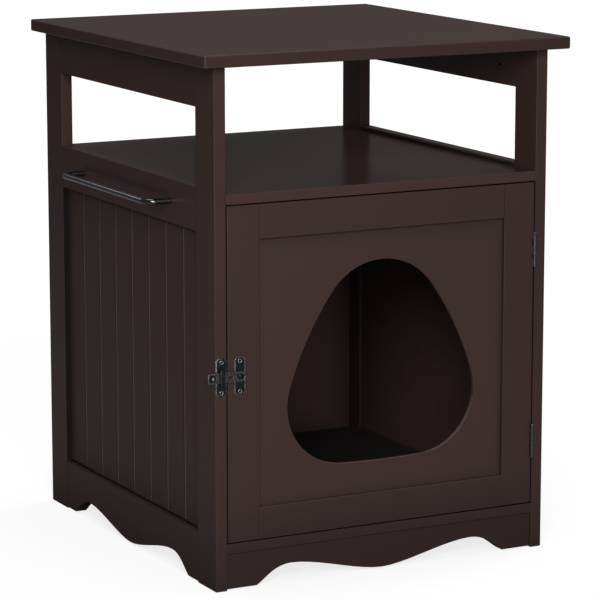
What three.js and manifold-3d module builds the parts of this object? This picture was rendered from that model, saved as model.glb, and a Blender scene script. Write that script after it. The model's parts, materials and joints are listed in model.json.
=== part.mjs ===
// Cat litter box cabinet: an open display bay above an enclosed litter room with a cat-sized
// opening in its door, two framed sides with beaded panels, and a towel bar on the left.
// Units are millimetres. +X is the cabinet's right, +Y its back, +Z up. Inside the cabinet's own
// frame X = 0 is the middle of the body, Y = 0 the front of the posts and Z = 0 the floor; the
// exported group is moved so that its origin is the bottom centre of the whole object.

import * as THREE from 'three';
import { mergeVertices } from 'three/addons/utils/BufferGeometryUtils.js';
import Module from 'manifold-3d';

const wasm = await Module();
wasm.setup();

// ---- Driving dimensions: the body ----
const BODY_W = 452; // over the outer faces of the posts
const BODY_D = 496; // over the posts, front to back
const TOP_Z = 640; // upper face of the top
const TOP_T = 15;
const TOP_SIDE_OVERHANG = 20.7;
const TOP_FRONT_OVERHANG = 19;
const TOP_EDGE_R = 2;
const FRAME_T = 15; // posts, side rails and side aprons
const POST_W = 50;
const BOARD_T = 12; // shelf, floor board and front apron
const SHELF_TOP_Z = 475.4;
const FLOOR_TOP_Z = 56.8;
const BOARD_REAR_SETBACK = 3; // shelf and floor board stop short of the posts' rear edges
const TOP_RAIL_H = 51.4;
const MIDDLE_RAIL_H = 53.5;
const MIDDLE_RAIL_LIP = 4.8; // stands above the shelf
const EDGE_EASE = 0.6; // sanded edges of the boards

// ---- Driving dimensions: the scalloped aprons ----
const SIDE_APRON_LIP = 5.4; // stands above the floor board
const FRONT_APRON_SETBACK = 2;
const APRON_FOOT_Z = 1.5; // the aprons' feet stay off the floor, the posts stand on it
const SCALLOP_DROP_Z = 2; // lowest point of the middle bulge
const SCALLOP_PEAK_X = 125; // from the apron's middle
const SCALLOP_PEAK_Z = 23.4;
const SCALLOP_FOOT_X = 171;
const BULGE_HANDLE = 35; // handles of the two curves on each half of the edge
const PEAK_INNER_HANDLE = 37;
const PEAK_OUTER_HANDLE = 23;
const FOOT_HANDLE_X = 11;
const FOOT_HANDLE_Z = 5.5;

// ---- Driving dimensions: the thin panels ----
const SIDE_PANEL_T = 4.6;
const SIDE_PANEL_RECESS = 6.4; // behind the outer faces of the posts
const SIDE_PLANKS = 8;
const BEAD_W = 3.6;
const BEAD_DEPTH = 1.4;
const QUIRK_H = 4.2; // shadow line between the panel's foot and the apron
const QUIRK_DEPTH = 2.4;
const BACK_PANEL_T = 3;
const BACK_PANEL_SETBACK = 20.6; // its front face, from the rear faces of the posts
const GROOVE_DEPTH = 6; // in posts, rails, aprons and the door's frame
const BOARD_GROOVE_DEPTH = 3; // in the shelf and the floor board, for the back panel

// ---- Driving dimensions: the door ----
const DOOR_T = 15;
const DOOR_SIDE_GAP = 1.5;
const DOOR_TOP_GAP = 1.9;
const DOOR_FOOT_GAP = 1.7;
const STILE_W = 42;
const DOOR_TOP_RAIL_H = 41;
const DOOR_FOOT_RAIL_H = 39;
const DOOR_PANEL_T = 5;
const DOOR_PANEL_RECESS = 5;

// ---- Driving dimensions: the cat's opening, a rounded triangle of tangent arcs ----
const ENTRY_TOP_Z = 382.5;
const ENTRY_LOW_Z = 136.5;
const ENTRY_HALF_W = 128;
const ENTRY_CROWN_R = 84;
const ENTRY_CORNER_R = 75;
const ENTRY_FLANK_R = 385;
const ENTRY_SILL_R = 1150;

// ---- Driving dimensions: hinges ----
const HINGE_H = 42;
const HINGE_FROM_DOOR_TOP = 83; // to the hinge's middle
const HINGE_FROM_DOOR_FOOT = 78.7;
const LEAF_D = 13;
const LEAF_T = 0.9;
const LEAF_GAP = 0.5; // air between the closed leaves
const BARREL_R = 2.1;
const BARREL_WALL = 0.9;
const BARREL_CLEARANCE = 0.35; // barrel to the faces of door and post
const KNUCKLES = 5;
const KNUCKLE_GAP = 0.3;
const PIN_CAP_R = 1.8;
const PIN_CAP_H = 0.6;
const HINGE_SCREW_SPREAD = 26;
const HINGE_SCREW_INSET = 7.5;

// ---- Driving dimensions: the latch ----
const LATCH_PLATE_W = 14;
const LATCH_PLATE_H = 46;
const LATCH_PLATE_T = 1.2;
const LATCH_PLATE_CLIP = 3.2;
const LATCH_PLATE_BEVEL = 0.35;
const LATCH_SCREW_SPREAD = 36.4;
const DOOR_PLATE_FROM_EDGE = 15.3; // door edge to the middle of its plate
const BAR_HALF_H = 6;
const BAR_T = 1.8;
const BAR_BEVEL = 0.35;
const BAR_PULL_REACH = 18.2; // from the keeper's middle to the bar's free end
const BAR_STANDOFF = 1; // lifts the bar clear of the screw heads
const BAR_SLOT_L = 8.4;
const BAR_SLOT_H = 4;
const BAR_SLOT_FROM_PIVOT = 13.6;
const BOSS_R = 4.2;
const PIVOT_R = 1.9;
const PIVOT_HEAD_R = 2.9;
const PIVOT_HEAD_H = 1.3;
const DISH_L = 10;
const DISH_H = 7.2;
const DISH_DEPTH = 0.8;
const HOOK_W = 6.4;
const HOOK_T = 1.6;
const HOOK_ABOVE_BAR = 4.2;
const HOOK_FRONT_GAP = 1;
const KNOB_R = 2.7;
const KNOB_H = 3.2;

// ---- Driving dimensions: the towel bar ----
const TOWEL_ROD_R = 4;
const TOWEL_FEET_SPAN = 256;
const TOWEL_REACH = 30; // from the rail's face to the rod's centre line
const TOWEL_BEND_R = 13;
const TOWEL_SCREW_DEPTH = 12; // into the rod's foot

// ---- Driving dimensions: fasteners ----
const CAM_R = 7.3;
const CAM_SUNK = 0.4;
const CAM_SLOT_L = 10;
const CAM_SLOT_W = 1.8;
const CAM_SLOT_DEPTH = 2.5;
const RAIL_CAM_H = 10.5;
const RAIL_CAM_BELOW_TOP = 27;
const RAIL_CAM_FROM_END = 89; // from the posts' front and rear edges
const BOARD_CAM_H = 9;
const BOARD_CAM_FROM_SIDE = 24;
const BOARD_CAM_FROM_END = 62;
const WOOD_SCREW_L = 12;
const WOOD_SCREW_R = 1.3;
const SCREW_TIP = 3;
const FLAT_HEAD_R = 2.4;
const PAN_HEAD_R = 2.7;
const PAN_HEAD_H = 0.7;
const MACHINE_SCREW_R = 2;
const MACHINE_HEAD_R = 4;
const MACHINE_HEAD_H = 2.4;
const CROSS_W = 0.9;

// ---- Clearances ----
const JOINT_GAP = 0.25; // between boards that are glued or drawn together
const SEAT_GAP = 0.2; // under hardware and screw heads
const PANEL_FIT = 0.3; // round a panel in its groove
const TONGUE_GAP = 0.5; // past a panel's edge, at the bottom of its groove
const SCREW_FIT = 0.2; // round screws, cams and the rod's screws
const TURN_FIT = 0.25; // round the hinge pins and the latch's pivot
const BAR_REST_GAP = 0.3; // latch bar to the hook that it rests on

// ---- Derived places ----
const HALF_W = BODY_W / 2;
const INNER_X = HALF_W - FRAME_T;
const UNDER_TOP_Z = TOP_Z - TOP_T;
const REAR_POST_Y = BODY_D - POST_W;
const MID_Y = BODY_D / 2;
const SIDE_LENGTH = REAR_POST_Y - POST_W;
const BACK_PANEL_FRONT_Y = BODY_D - BACK_PANEL_SETBACK;
const SHELF_LOW_Z = SHELF_TOP_Z - BOARD_T;
const FLOOR_LOW_Z = FLOOR_TOP_Z - BOARD_T;
const MIDDLE_RAIL_LOW_Z = SHELF_TOP_Z + MIDDLE_RAIL_LIP - MIDDLE_RAIL_H;
const SIDE_APRON_TOP_Z = FLOOR_TOP_Z + SIDE_APRON_LIP;
const DOOR_HALF_W = INNER_X - DOOR_SIDE_GAP;
const DOOR_LOW_Z = FLOOR_TOP_Z + DOOR_FOOT_GAP;
const DOOR_TOP_Z = SHELF_LOW_Z - DOOR_TOP_GAP;
const TONGUE = GROOVE_DEPTH - TONGUE_GAP;

// ---- Finishes ----
const espresso = new THREE.MeshStandardMaterial({ color: 0x42342f, roughness: 0.48, metalness: 0 });
const espressoPanel = new THREE.MeshStandardMaterial({ color: 0x403330, roughness: 0.52, metalness: 0 });
const blackIron = new THREE.MeshStandardMaterial({ color: 0x1c1d20, roughness: 0.36, metalness: 0.85 });
const zinc = new THREE.MeshStandardMaterial({ color: 0x8d8f90, roughness: 0.4, metalness: 0.9 });

// ---- Directions ----
const RIGHT = new THREE.Vector3(1, 0, 0);
const LEFT = new THREE.Vector3(-1, 0, 0);
const BACK = new THREE.Vector3(0, 1, 0);
const FORWARD = new THREE.Vector3(0, -1, 0);
const UP = new THREE.Vector3(0, 0, 1);

const SIDES = [
  { name: 'left', sign: -1, inward: RIGHT, outward: LEFT },
  { name: 'right', sign: 1, inward: LEFT, outward: RIGHT },
];

const cabinet = new THREE.Group();

function piece(name, geometry, finish) {
  const mesh = new THREE.Mesh(geometry, finish);
  mesh.name = name;
  cabinet.add(mesh);
}

// ---- Joining and cutting closed meshes ----
function toSolid(geometry) {
  const bare = geometry.clone();
  bare.deleteAttribute('normal');
  bare.deleteAttribute('uv');
  const merged = mergeVertices(bare, 1e-4);
  const mesh = new wasm.Mesh({
    numProp: 3,
    vertProperties: merged.attributes.position.array,
    triVerts: Uint32Array.from(merged.index.array),
  });
  return new wasm.Manifold(mesh);
}

function toGeometry(solid) {
  const mesh = solid.getMesh();
  const geometry = new THREE.BufferGeometry();
  geometry.setAttribute('position', new THREE.BufferAttribute(Float32Array.from(mesh.vertProperties), 3));
  geometry.setIndex(new THREE.BufferAttribute(Uint32Array.from(mesh.triVerts), 1));
  geometry.computeVertexNormals();
  return geometry;
}

function join(...geometries) {
  return toGeometry(geometries.map(toSolid).reduce((whole, next) => whole.add(next)));
}

function cut(body, ...tools) {
  return toGeometry(tools.map(toSolid).reduce((rest, tool) => rest.subtract(tool), toSolid(body)));
}

// ---- Boards, plates and bars ----

// The two ends of a range in order, so that a mirrored piece is written once.
function span(a, b) {
  return [Math.min(a, b), Math.max(a, b)];
}

// A plain block: the cutter for grooves and mortises.
function block(x, y, z) {
  const geometry = new THREE.BoxGeometry(x[1] - x[0], y[1] - y[0], z[1] - z[0]);
  geometry.translate((x[0] + x[1]) / 2, (y[0] + y[1]) / 2, (z[0] + z[1]) / 2);
  return geometry;
}

// An outline extruded from z = 0 to its thickness, with both faces' edges eased.
function plate(outline, thickness, ease, easeSteps = 1, curveSteps = easeSteps) {
  const geometry = new THREE.ExtrudeGeometry(outline, {
    depth: thickness - 2 * ease,
    curveSegments: curveSteps,
    bevelEnabled: true,
    bevelThickness: ease,
    bevelSize: ease,
    bevelOffset: -ease,
    bevelSegments: easeSteps,
  });
  geometry.translate(0, 0, ease);
  return geometry;
}

// A rectangle about the origin whose corners are quarter circles.
function roundedRectangle(halfWidth, halfHeight, radius) {
  const outline = new THREE.Shape();
  const x = halfWidth - radius;
  const y = halfHeight - radius;
  outline.absarc(x, -y, radius, -Math.PI / 2, 0);
  outline.absarc(x, y, radius, 0, Math.PI / 2);
  outline.absarc(-x, y, radius, Math.PI / 2, Math.PI);
  outline.absarc(-x, -y, radius, Math.PI, 1.5 * Math.PI);
  return outline;
}

// A board with every edge eased.
function board(x, y, z, ease = EDGE_EASE, easeSteps = 1) {
  const cornerR = 1.3 * ease;
  const outline = roundedRectangle((x[1] - x[0]) / 2, (y[1] - y[0]) / 2, cornerR);
  const geometry = plate(outline, z[1] - z[0], ease, easeSteps);
  geometry.translate((x[0] + x[1]) / 2, (y[0] + y[1]) / 2, z[0]);
  return geometry;
}

// Stands a plate up to face the front: its outline's Y becomes Z, its front face lies at frontY.
function facingFront(geometry, thickness, centreX, frontY, baseZ) {
  geometry.rotateX(Math.PI / 2);
  geometry.translate(centreX, frontY + thickness, baseZ);
  return geometry;
}

// Stands a plate up to face the side: its outline's X becomes Y, its low face lies at lowX.
function facingSide(geometry, lowX, centreY, baseZ) {
  geometry.rotateX(Math.PI / 2);
  geometry.rotateZ(Math.PI / 2);
  geometry.translate(lowX, centreY, baseZ);
  return geometry;
}

// Turns a shape made along +Y to point along a direction, and moves its base to a point.
function aim(geometry, from, direction) {
  geometry.applyQuaternion(new THREE.Quaternion().setFromUnitVectors(BACK, direction));
  geometry.translate(from.x, from.y, from.z);
  return geometry;
}

// A round bar from a point along a direction.
function roundBar(from, direction, radius, length, sides = 16) {
  const geometry = new THREE.CylinderGeometry(radius, radius, length, sides);
  geometry.translate(0, length / 2, 0);
  return aim(geometry, from, direction);
}

// A turned shape from (radius, height) pairs that start and end on the axis.
function turned(profile, sides) {
  return new THREE.LatheGeometry(profile.map(([radius, height]) => new THREE.Vector2(radius, height)), sides);
}

// ---- Screws: made along +Y, the head's seat at y = 0 and the point at y = length ----
function panHeadProfile(headR, headH, shankR, length) {
  return [[0, -headH], [0.72 * headR, -headH], [headR, -0.4 * headH], [headR, 0],
    [shankR, 0], [shankR, length - SCREW_TIP], [0, length]];
}

function flatHeadProfile(headR, shankR, length) {
  return [[0, 0], [headR, 0], [shankR, headR - shankR], [shankR, length - SCREW_TIP], [0, length]];
}

function grown(profile, gap) {
  return profile.map(([radius, height]) => [radius > 0 ? radius + gap : 0, height]);
}

// Two crossed slots, sunk into a screw's head from its top.
function crossRecess(length, depth, topY) {
  const half = length / 2;
  const long = block([-half, half], [topY - 1, topY + depth], [-CROSS_W / 2, CROSS_W / 2]);
  const short = block([-CROSS_W / 2, CROSS_W / 2], [topY - 1, topY + depth], [-half, half]);
  return [long, short];
}

function panScrew(headR, headH, shankR, length) {
  const body = turned(panHeadProfile(headR, headH, shankR, length), 12);
  return cut(body, ...crossRecess(1.2 * headR, 0.7 * headH, -headH));
}

function flatScrew() {
  const body = turned(flatHeadProfile(FLAT_HEAD_R, WOOD_SCREW_R, WOOD_SCREW_L), 12);
  return cut(body, ...crossRecess(1.2 * FLAT_HEAD_R, 0.6, 0));
}

function flatScrewHole(from, direction) {
  const hole = turned(grown(flatHeadProfile(FLAT_HEAD_R, WOOD_SCREW_R, WOOD_SCREW_L + SEAT_GAP), SCREW_FIT), 12);
  return aim(hole, from, direction);
}

// ---- Cam locks: discs with a cross slot, sunk in bores of rails and boards ----
function camLock(height) {
  const chamfer = 0.5;
  const disc = turned([[0, 0], [CAM_R - chamfer, 0], [CAM_R, chamfer], [CAM_R, height], [0, height]], 24);
  const half = CAM_SLOT_L / 2;
  const long = block([-half, half], [-1, CAM_SLOT_DEPTH], [-CAM_SLOT_W / 2, CAM_SLOT_W / 2]);
  const short = block([-CAM_SLOT_W / 2, CAM_SLOT_W / 2], [-1, CAM_SLOT_DEPTH], [-half, half]);
  return cut(disc, long, short);
}

// Sinks a cam lock in a face and returns the bore that it needs there.
function seatCam(name, face, inward, height) {
  const seat = face.clone().addScaledVector(inward, CAM_SUNK);
  piece(name, aim(camLock(height), seat, inward), zinc);
  const mouth = face.clone().addScaledVector(inward, -1);
  return roundBar(mouth, inward, CAM_R + SCREW_FIT, 1 + CAM_SUNK + height + SEAT_GAP, 24);
}

// ---- Hinges ----
const CABINET_LEAF_X = [INNER_X - SEAT_GAP - LEAF_T, INNER_X - SEAT_GAP];
const DOOR_LEAF_X = [CABINET_LEAF_X[0] - LEAF_GAP - LEAF_T, CABINET_LEAF_X[0] - LEAF_GAP];
const HINGE_X = CABINET_LEAF_X[0] - LEAF_GAP / 2;
const HINGE_Y = -(BARREL_R + BARREL_CLEARANCE);
const LEAF_FRONT_Y = HINGE_Y + Math.hypot(BARREL_R + KNUCKLE_GAP, LEAF_GAP / 2);
const BORE_R = BARREL_R - BARREL_WALL;
const PIN_R = BORE_R - TURN_FIT;
const HINGES = [
  { name: 'upper', z: DOOR_TOP_Z - HINGE_FROM_DOOR_TOP },
  { name: 'lower', z: DOOR_LOW_Z + HINGE_FROM_DOOR_FOOT },
];

function hingeScrewPlaces(hinge, faceX) {
  return [-1, 1].map((end) => new THREE.Vector3(faceX, HINGE_SCREW_INSET, hinge.z + end * HINGE_SCREW_SPREAD / 2));
}

// One leaf with its own knuckles; firstKnuckle is 0 or 1, and every second one follows.
function hingeLeaf(hinge, sheet, firstKnuckle, screwFaceX, screwDirection) {
  const lowZ = hinge.z - HINGE_H / 2;
  const pitch = HINGE_H / KNUCKLES;
  const solids = [block(sheet, [LEAF_FRONT_Y, LEAF_D], [lowZ, lowZ + HINGE_H])];
  for (let k = firstKnuckle; k < KNUCKLES; k += 2) {
    const from = lowZ + k * pitch + KNUCKLE_GAP / 2;
    const height = pitch - KNUCKLE_GAP;
    solids.push(block(sheet, [HINGE_Y, LEAF_FRONT_Y + LEAF_T], [from, from + height]));
    solids.push(roundBar(new THREE.Vector3(HINGE_X, HINGE_Y, from), UP, BARREL_R, height, 18));
  }
  const bore = roundBar(new THREE.Vector3(HINGE_X, HINGE_Y, lowZ - 1), UP, BORE_R, HINGE_H + 2, 18);
  const holes = hingeScrewPlaces(hinge, screwFaceX).map((place) => flatScrewHole(place, screwDirection));
  return cut(join(...solids), bore, ...holes);
}

function hingePin(hinge) {
  const low = -HINGE_H / 2;
  const profile = [[0, low - PIN_CAP_H], [PIN_CAP_R, low - PIN_CAP_H / 2], [PIN_CAP_R, low], [PIN_R, low],
    [PIN_R, -low], [PIN_CAP_R, -low], [PIN_CAP_R, PIN_CAP_H / 2 - low], [0, PIN_CAP_H - low]];
  return aim(turned(profile, 16), new THREE.Vector3(HINGE_X, HINGE_Y, hinge.z), UP);
}

for (const hinge of HINGES) {
  const cabinetLeaf = hingeLeaf(hinge, CABINET_LEAF_X, 0, CABINET_LEAF_X[0], RIGHT);
  const doorLeaf = hingeLeaf(hinge, DOOR_LEAF_X, 1, DOOR_LEAF_X[1], LEFT);
  piece(`${hinge.name}_hinge_cabinet_leaf`, cabinetLeaf, blackIron);
  piece(`${hinge.name}_hinge_door_leaf`, doorLeaf, blackIron);
  piece(`${hinge.name}_hinge_pin`, hingePin(hinge), blackIron);
  hingeScrewPlaces(hinge, CABINET_LEAF_X[0]).forEach((place, k) => {
    piece(`${hinge.name}_hinge_cabinet_screw_${k + 1}`, aim(flatScrew(), place, RIGHT), blackIron);
  });
  hingeScrewPlaces(hinge, DOOR_LEAF_X[1]).forEach((place, k) => {
    piece(`${hinge.name}_hinge_door_screw_${k + 1}`, aim(flatScrew(), place, LEFT), blackIron);
  });
}

// ---- Latch: a bar on the door drops into a hook on the left post ----
const LATCH_Z = (DOOR_LOW_Z + DOOR_TOP_Z) / 2;
const KEEPER_X = -(HALF_W + INNER_X) / 2;
const PIVOT_X = -DOOR_HALF_W + DOOR_PLATE_FROM_EDGE;
const PLATE_FRONT_Y = -(SEAT_GAP + LATCH_PLATE_T);
const BAR_BACK_Y = PLATE_FRONT_Y - BAR_STANDOFF;
const BAR_FRONT_Y = BAR_BACK_Y - BAR_T;
const HOOK_FRONT_Y = BAR_FRONT_Y - HOOK_FRONT_GAP - HOOK_T;
const HOOK_FOOT_Z = LATCH_Z - BAR_HALF_H - BAR_REST_GAP;

function latchPlate(centreX) {
  const halfW = LATCH_PLATE_W / 2;
  const halfH = LATCH_PLATE_H / 2;
  const clip = LATCH_PLATE_CLIP;
  const corners = [[halfW - clip, -halfH], [halfW, clip - halfH], [halfW, halfH - clip], [halfW - clip, halfH],
    [clip - halfW, halfH], [-halfW, halfH - clip], [-halfW, clip - halfH], [clip - halfW, -halfH]];
  const outline = new THREE.Shape(corners.map(([x, z]) => new THREE.Vector2(x, z)));
  const sheet = plate(outline, LATCH_PLATE_T, LATCH_PLATE_BEVEL);
  return facingFront(sheet, LATCH_PLATE_T, centreX, PLATE_FRONT_Y, LATCH_Z);
}

function latchScrewPlaces(centreX) {
  return [-1, 1].map((end) => new THREE.Vector3(centreX, PLATE_FRONT_Y, LATCH_Z + end * LATCH_SCREW_SPREAD / 2));
}

function latchScrewHole(place) {
  const mouth = place.clone().addScaledVector(FORWARD, 1);
  return roundBar(mouth, BACK, WOOD_SCREW_R + SCREW_FIT, 1 + WOOD_SCREW_L + SEAT_GAP, 12);
}

function keeper() {
  const hookX = [KEEPER_X - HOOK_W / 2, KEEPER_X + HOOK_W / 2];
  const footZ = [HOOK_FOOT_Z - HOOK_T, HOOK_FOOT_Z];
  const foot = block(hookX, [HOOK_FRONT_Y + HOOK_T / 2, PLATE_FRONT_Y + LATCH_PLATE_T / 2], footZ);
  const uprightZ = [footZ[0], LATCH_Z + BAR_HALF_H + HOOK_ABOVE_BAR];
  const upright = board(hookX, [HOOK_FRONT_Y, HOOK_FRONT_Y + HOOK_T], uprightZ, 0.4, 2);
  const holes = latchScrewPlaces(KEEPER_X).map(latchScrewHole);
  return cut(join(latchPlate(KEEPER_X), foot, upright), ...holes);
}

function doorPlate() {
  const bossFrom = new THREE.Vector3(PIVOT_X, BAR_BACK_Y + SEAT_GAP, LATCH_Z);
  const boss = roundBar(bossFrom, BACK, BOSS_R, PLATE_FRONT_Y + LATCH_PLATE_T / 2 - bossFrom.y, 24);
  const holeFrom = new THREE.Vector3(PIVOT_X, BAR_BACK_Y - 1, LATCH_Z);
  const pivotHole = roundBar(holeFrom, BACK, PIVOT_R + SCREW_FIT, 1 - BAR_BACK_Y, 20);
  return cut(join(latchPlate(PIVOT_X), boss), pivotHole, ...latchScrewPlaces(PIVOT_X).map(latchScrewHole));
}

// A flat bar with round ends, a slot, a dished pivot hole and a turned knob at its free end.
function latchBar() {
  const leftX = KEEPER_X - BAR_PULL_REACH;
  const rightX = PIVOT_X + BAR_HALF_H;
  const outline = roundedRectangle((rightX - leftX) / 2, BAR_HALF_H, BAR_HALF_H);
  const strip = facingFront(plate(outline, BAR_T, BAR_BEVEL, 1, 10), BAR_T, (leftX + rightX) / 2, BAR_FRONT_Y, LATCH_Z);
  const knobProfile = [[0, 0], [KNOB_R * 0.7, 0], [KNOB_R, 0.8], [KNOB_R, KNOB_H - 0.6],
    [KNOB_R * 0.85, KNOB_H], [KNOB_R * 0.85, KNOB_H + BAR_T / 2], [0, KNOB_H + BAR_T / 2]];
  const knobFrom = new THREE.Vector3(leftX + BAR_HALF_H, BAR_FRONT_Y - KNOB_H, LATCH_Z);
  const knob = aim(turned(knobProfile, 16), knobFrom, BACK);
  const slotShape = roundedRectangle(BAR_SLOT_L / 2, BAR_SLOT_H / 2, BAR_SLOT_H / 2 - 0.1);
  const slotX = PIVOT_X - BAR_SLOT_FROM_PIVOT;
  const slot = facingFront(plate(slotShape, 3 * BAR_T, 0, 1, 6), 3 * BAR_T, slotX, BAR_FRONT_Y - BAR_T, LATCH_Z);
  const dishShape = roundedRectangle(DISH_L / 2, DISH_H / 2, DISH_H / 2 - 0.1);
  const dish = facingFront(plate(dishShape, BAR_T, 0, 1, 8), BAR_T, PIVOT_X, BAR_FRONT_Y + DISH_DEPTH - BAR_T, LATCH_Z);
  const holeFrom = new THREE.Vector3(PIVOT_X, BAR_FRONT_Y - 1, LATCH_Z);
  const pivotHole = roundBar(holeFrom, BACK, PIVOT_R + TURN_FIT, BAR_T + 2, 20);
  return cut(join(strip, knob), slot, dish, pivotHole);
}

function pivotRivet() {
  const seatY = BAR_FRONT_Y + DISH_DEPTH - SEAT_GAP;
  const length = -SEAT_GAP - seatY;
  const profile = [[0, -PIVOT_HEAD_H], [PIVOT_HEAD_R * 0.55, -PIVOT_HEAD_H * 0.85],
    [PIVOT_HEAD_R, -PIVOT_HEAD_H * 0.3], [PIVOT_HEAD_R, 0], [PIVOT_R, 0], [PIVOT_R, length], [0, length]];
  return aim(turned(profile, 20), new THREE.Vector3(PIVOT_X, seatY, LATCH_Z), BACK);
}

piece('latch_keeper', keeper(), blackIron);
piece('latch_door_plate', doorPlate(), blackIron);
piece('latch_bar', latchBar(), blackIron);
piece('latch_pivot', pivotRivet(), blackIron);
for (const [name, centreX] of [['latch_keeper', KEEPER_X], ['latch_door', PIVOT_X]]) {
  latchScrewPlaces(centreX).forEach((place, k) => {
    const seat = place.clone().addScaledVector(FORWARD, SEAT_GAP / 2);
    const screw = panScrew(PAN_HEAD_R, PAN_HEAD_H, WOOD_SCREW_R, WOOD_SCREW_L);
    piece(`${name}_screw_${k + 1}`, aim(screw, seat, BACK), blackIron);
  });
}

// ---- Top ----
piece('top_board', board(
  [-HALF_W - TOP_SIDE_OVERHANG, HALF_W + TOP_SIDE_OVERHANG],
  [-TOP_FRONT_OVERHANG, BODY_D],
  [UNDER_TOP_Z, TOP_Z],
  TOP_EDGE_R,
  3,
), espresso);

// ---- Posts ----
const SIDE_GROOVE_X = [HALF_W - SIDE_PANEL_RECESS - SIDE_PANEL_T - PANEL_FIT, HALF_W - SIDE_PANEL_RECESS + PANEL_FIT];
const SIDE_GROOVE_Z = [SIDE_APRON_TOP_Z - GROOVE_DEPTH, MIDDLE_RAIL_LOW_Z + GROOVE_DEPTH];
const BACK_GROOVE_Y = [BACK_PANEL_FRONT_Y - PANEL_FIT, BACK_PANEL_FRONT_Y + BACK_PANEL_T + PANEL_FIT];
const BACK_GROOVE_Z = [FLOOR_TOP_Z - BOARD_GROOVE_DEPTH, SHELF_LOW_Z + BOARD_GROOVE_DEPTH];

for (const side of SIDES) {
  const postX = span(side.sign * INNER_X, side.sign * HALF_W);
  const grooveX = span(side.sign * SIDE_GROOVE_X[0], side.sign * SIDE_GROOVE_X[1]);
  const postZ = [0, UNDER_TOP_Z - JOINT_GAP];
  const frontGroove = block(grooveX, [POST_W - GROOVE_DEPTH, POST_W + 1], SIDE_GROOVE_Z);
  const fixings = side.sign < 0
    ? latchScrewPlaces(KEEPER_X).map(latchScrewHole)
    : HINGES.flatMap((hinge) => hingeScrewPlaces(hinge, CABINET_LEAF_X[0]).map((place) => flatScrewHole(place, RIGHT)));
  piece(`${side.name}_front_post`, cut(board(postX, [0, POST_W], postZ), frontGroove, ...fixings), espresso);

  const rearGroove = block(grooveX, [REAR_POST_Y - 1, REAR_POST_Y + GROOVE_DEPTH], SIDE_GROOVE_Z);
  const innerFace = side.sign * INNER_X;
  const backGrooveX = span(innerFace - side.sign, innerFace + side.sign * GROOVE_DEPTH);
  const backGroove = block(backGrooveX, BACK_GROOVE_Y, BACK_GROOVE_Z);
  piece(`${side.name}_rear_post`, cut(board(postX, [REAR_POST_Y, BODY_D], postZ), rearGroove, backGroove), espresso);
}

// ---- Side rails ----
const RAIL_Y = [POST_W + JOINT_GAP, REAR_POST_Y - JOINT_GAP];
const MIDDLE_RAIL_Z = [MIDDLE_RAIL_LOW_Z, MIDDLE_RAIL_LOW_Z + MIDDLE_RAIL_H];
const TOWEL_Z = (MIDDLE_RAIL_Z[0] + MIDDLE_RAIL_Z[1]) / 2;
const TOWEL_FEET_Y = [MID_Y - TOWEL_FEET_SPAN / 2, MID_Y + TOWEL_FEET_SPAN / 2];
const RAIL_CAM_YS = [RAIL_CAM_FROM_END, BODY_D - RAIL_CAM_FROM_END];

for (const side of SIDES) {
  const railX = span(side.sign * INNER_X, side.sign * HALF_W);
  const camBores = RAIL_CAM_YS.map((y, k) => {
    const face = new THREE.Vector3(side.sign * INNER_X, y, UNDER_TOP_Z - RAIL_CAM_BELOW_TOP);
    return seatCam(`${side.name}_rail_cam_${k + 1}`, face, side.outward, RAIL_CAM_H);
  });
  const topRail = board(railX, RAIL_Y, [UNDER_TOP_Z - TOP_RAIL_H, UNDER_TOP_Z - JOINT_GAP]);
  piece(`${side.name}_top_rail`, cut(topRail, ...camBores), espresso);

  const grooveX = span(side.sign * SIDE_GROOVE_X[0], side.sign * SIDE_GROOVE_X[1]);
  const groove = block(grooveX, [0, BODY_D], [MIDDLE_RAIL_Z[0] - 1, MIDDLE_RAIL_Z[0] + GROOVE_DEPTH]);
  const towelHoles = side.sign > 0 ? [] : TOWEL_FEET_Y.map((y) => {
    const from = new THREE.Vector3(-INNER_X + 1, y, TOWEL_Z);
    return roundBar(from, LEFT, MACHINE_SCREW_R + SCREW_FIT, FRAME_T + 2, 16);
  });
  piece(`${side.name}_middle_rail`, cut(board(railX, RAIL_Y, MIDDLE_RAIL_Z), groove, ...towelHoles), espresso);
}

// ---- Aprons: a straight top edge, a scalloped lower edge and a foot at each end ----
function apronOutline(halfLength, topZ) {
  const peakX = SCALLOP_PEAK_X;
  const footX = SCALLOP_FOOT_X;
  const handleX = footX - FOOT_HANDLE_X;
  const handleZ = APRON_FOOT_Z + FOOT_HANDLE_Z;
  const outline = new THREE.Shape();
  outline.moveTo(halfLength, topZ);
  outline.lineTo(-halfLength, topZ);
  outline.lineTo(-halfLength, APRON_FOOT_Z);
  outline.lineTo(-footX, APRON_FOOT_Z);
  outline.bezierCurveTo(-handleX, handleZ, -peakX - PEAK_OUTER_HANDLE, SCALLOP_PEAK_Z, -peakX, SCALLOP_PEAK_Z);
  outline.bezierCurveTo(PEAK_INNER_HANDLE - peakX, SCALLOP_PEAK_Z, -BULGE_HANDLE, SCALLOP_DROP_Z, 0, SCALLOP_DROP_Z);
  outline.bezierCurveTo(BULGE_HANDLE, SCALLOP_DROP_Z, peakX - PEAK_INNER_HANDLE, SCALLOP_PEAK_Z, peakX, SCALLOP_PEAK_Z);
  outline.bezierCurveTo(peakX + PEAK_OUTER_HANDLE, SCALLOP_PEAK_Z, handleX, handleZ, footX, APRON_FOOT_Z);
  outline.lineTo(halfLength, APRON_FOOT_Z);
  return outline;
}

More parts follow.
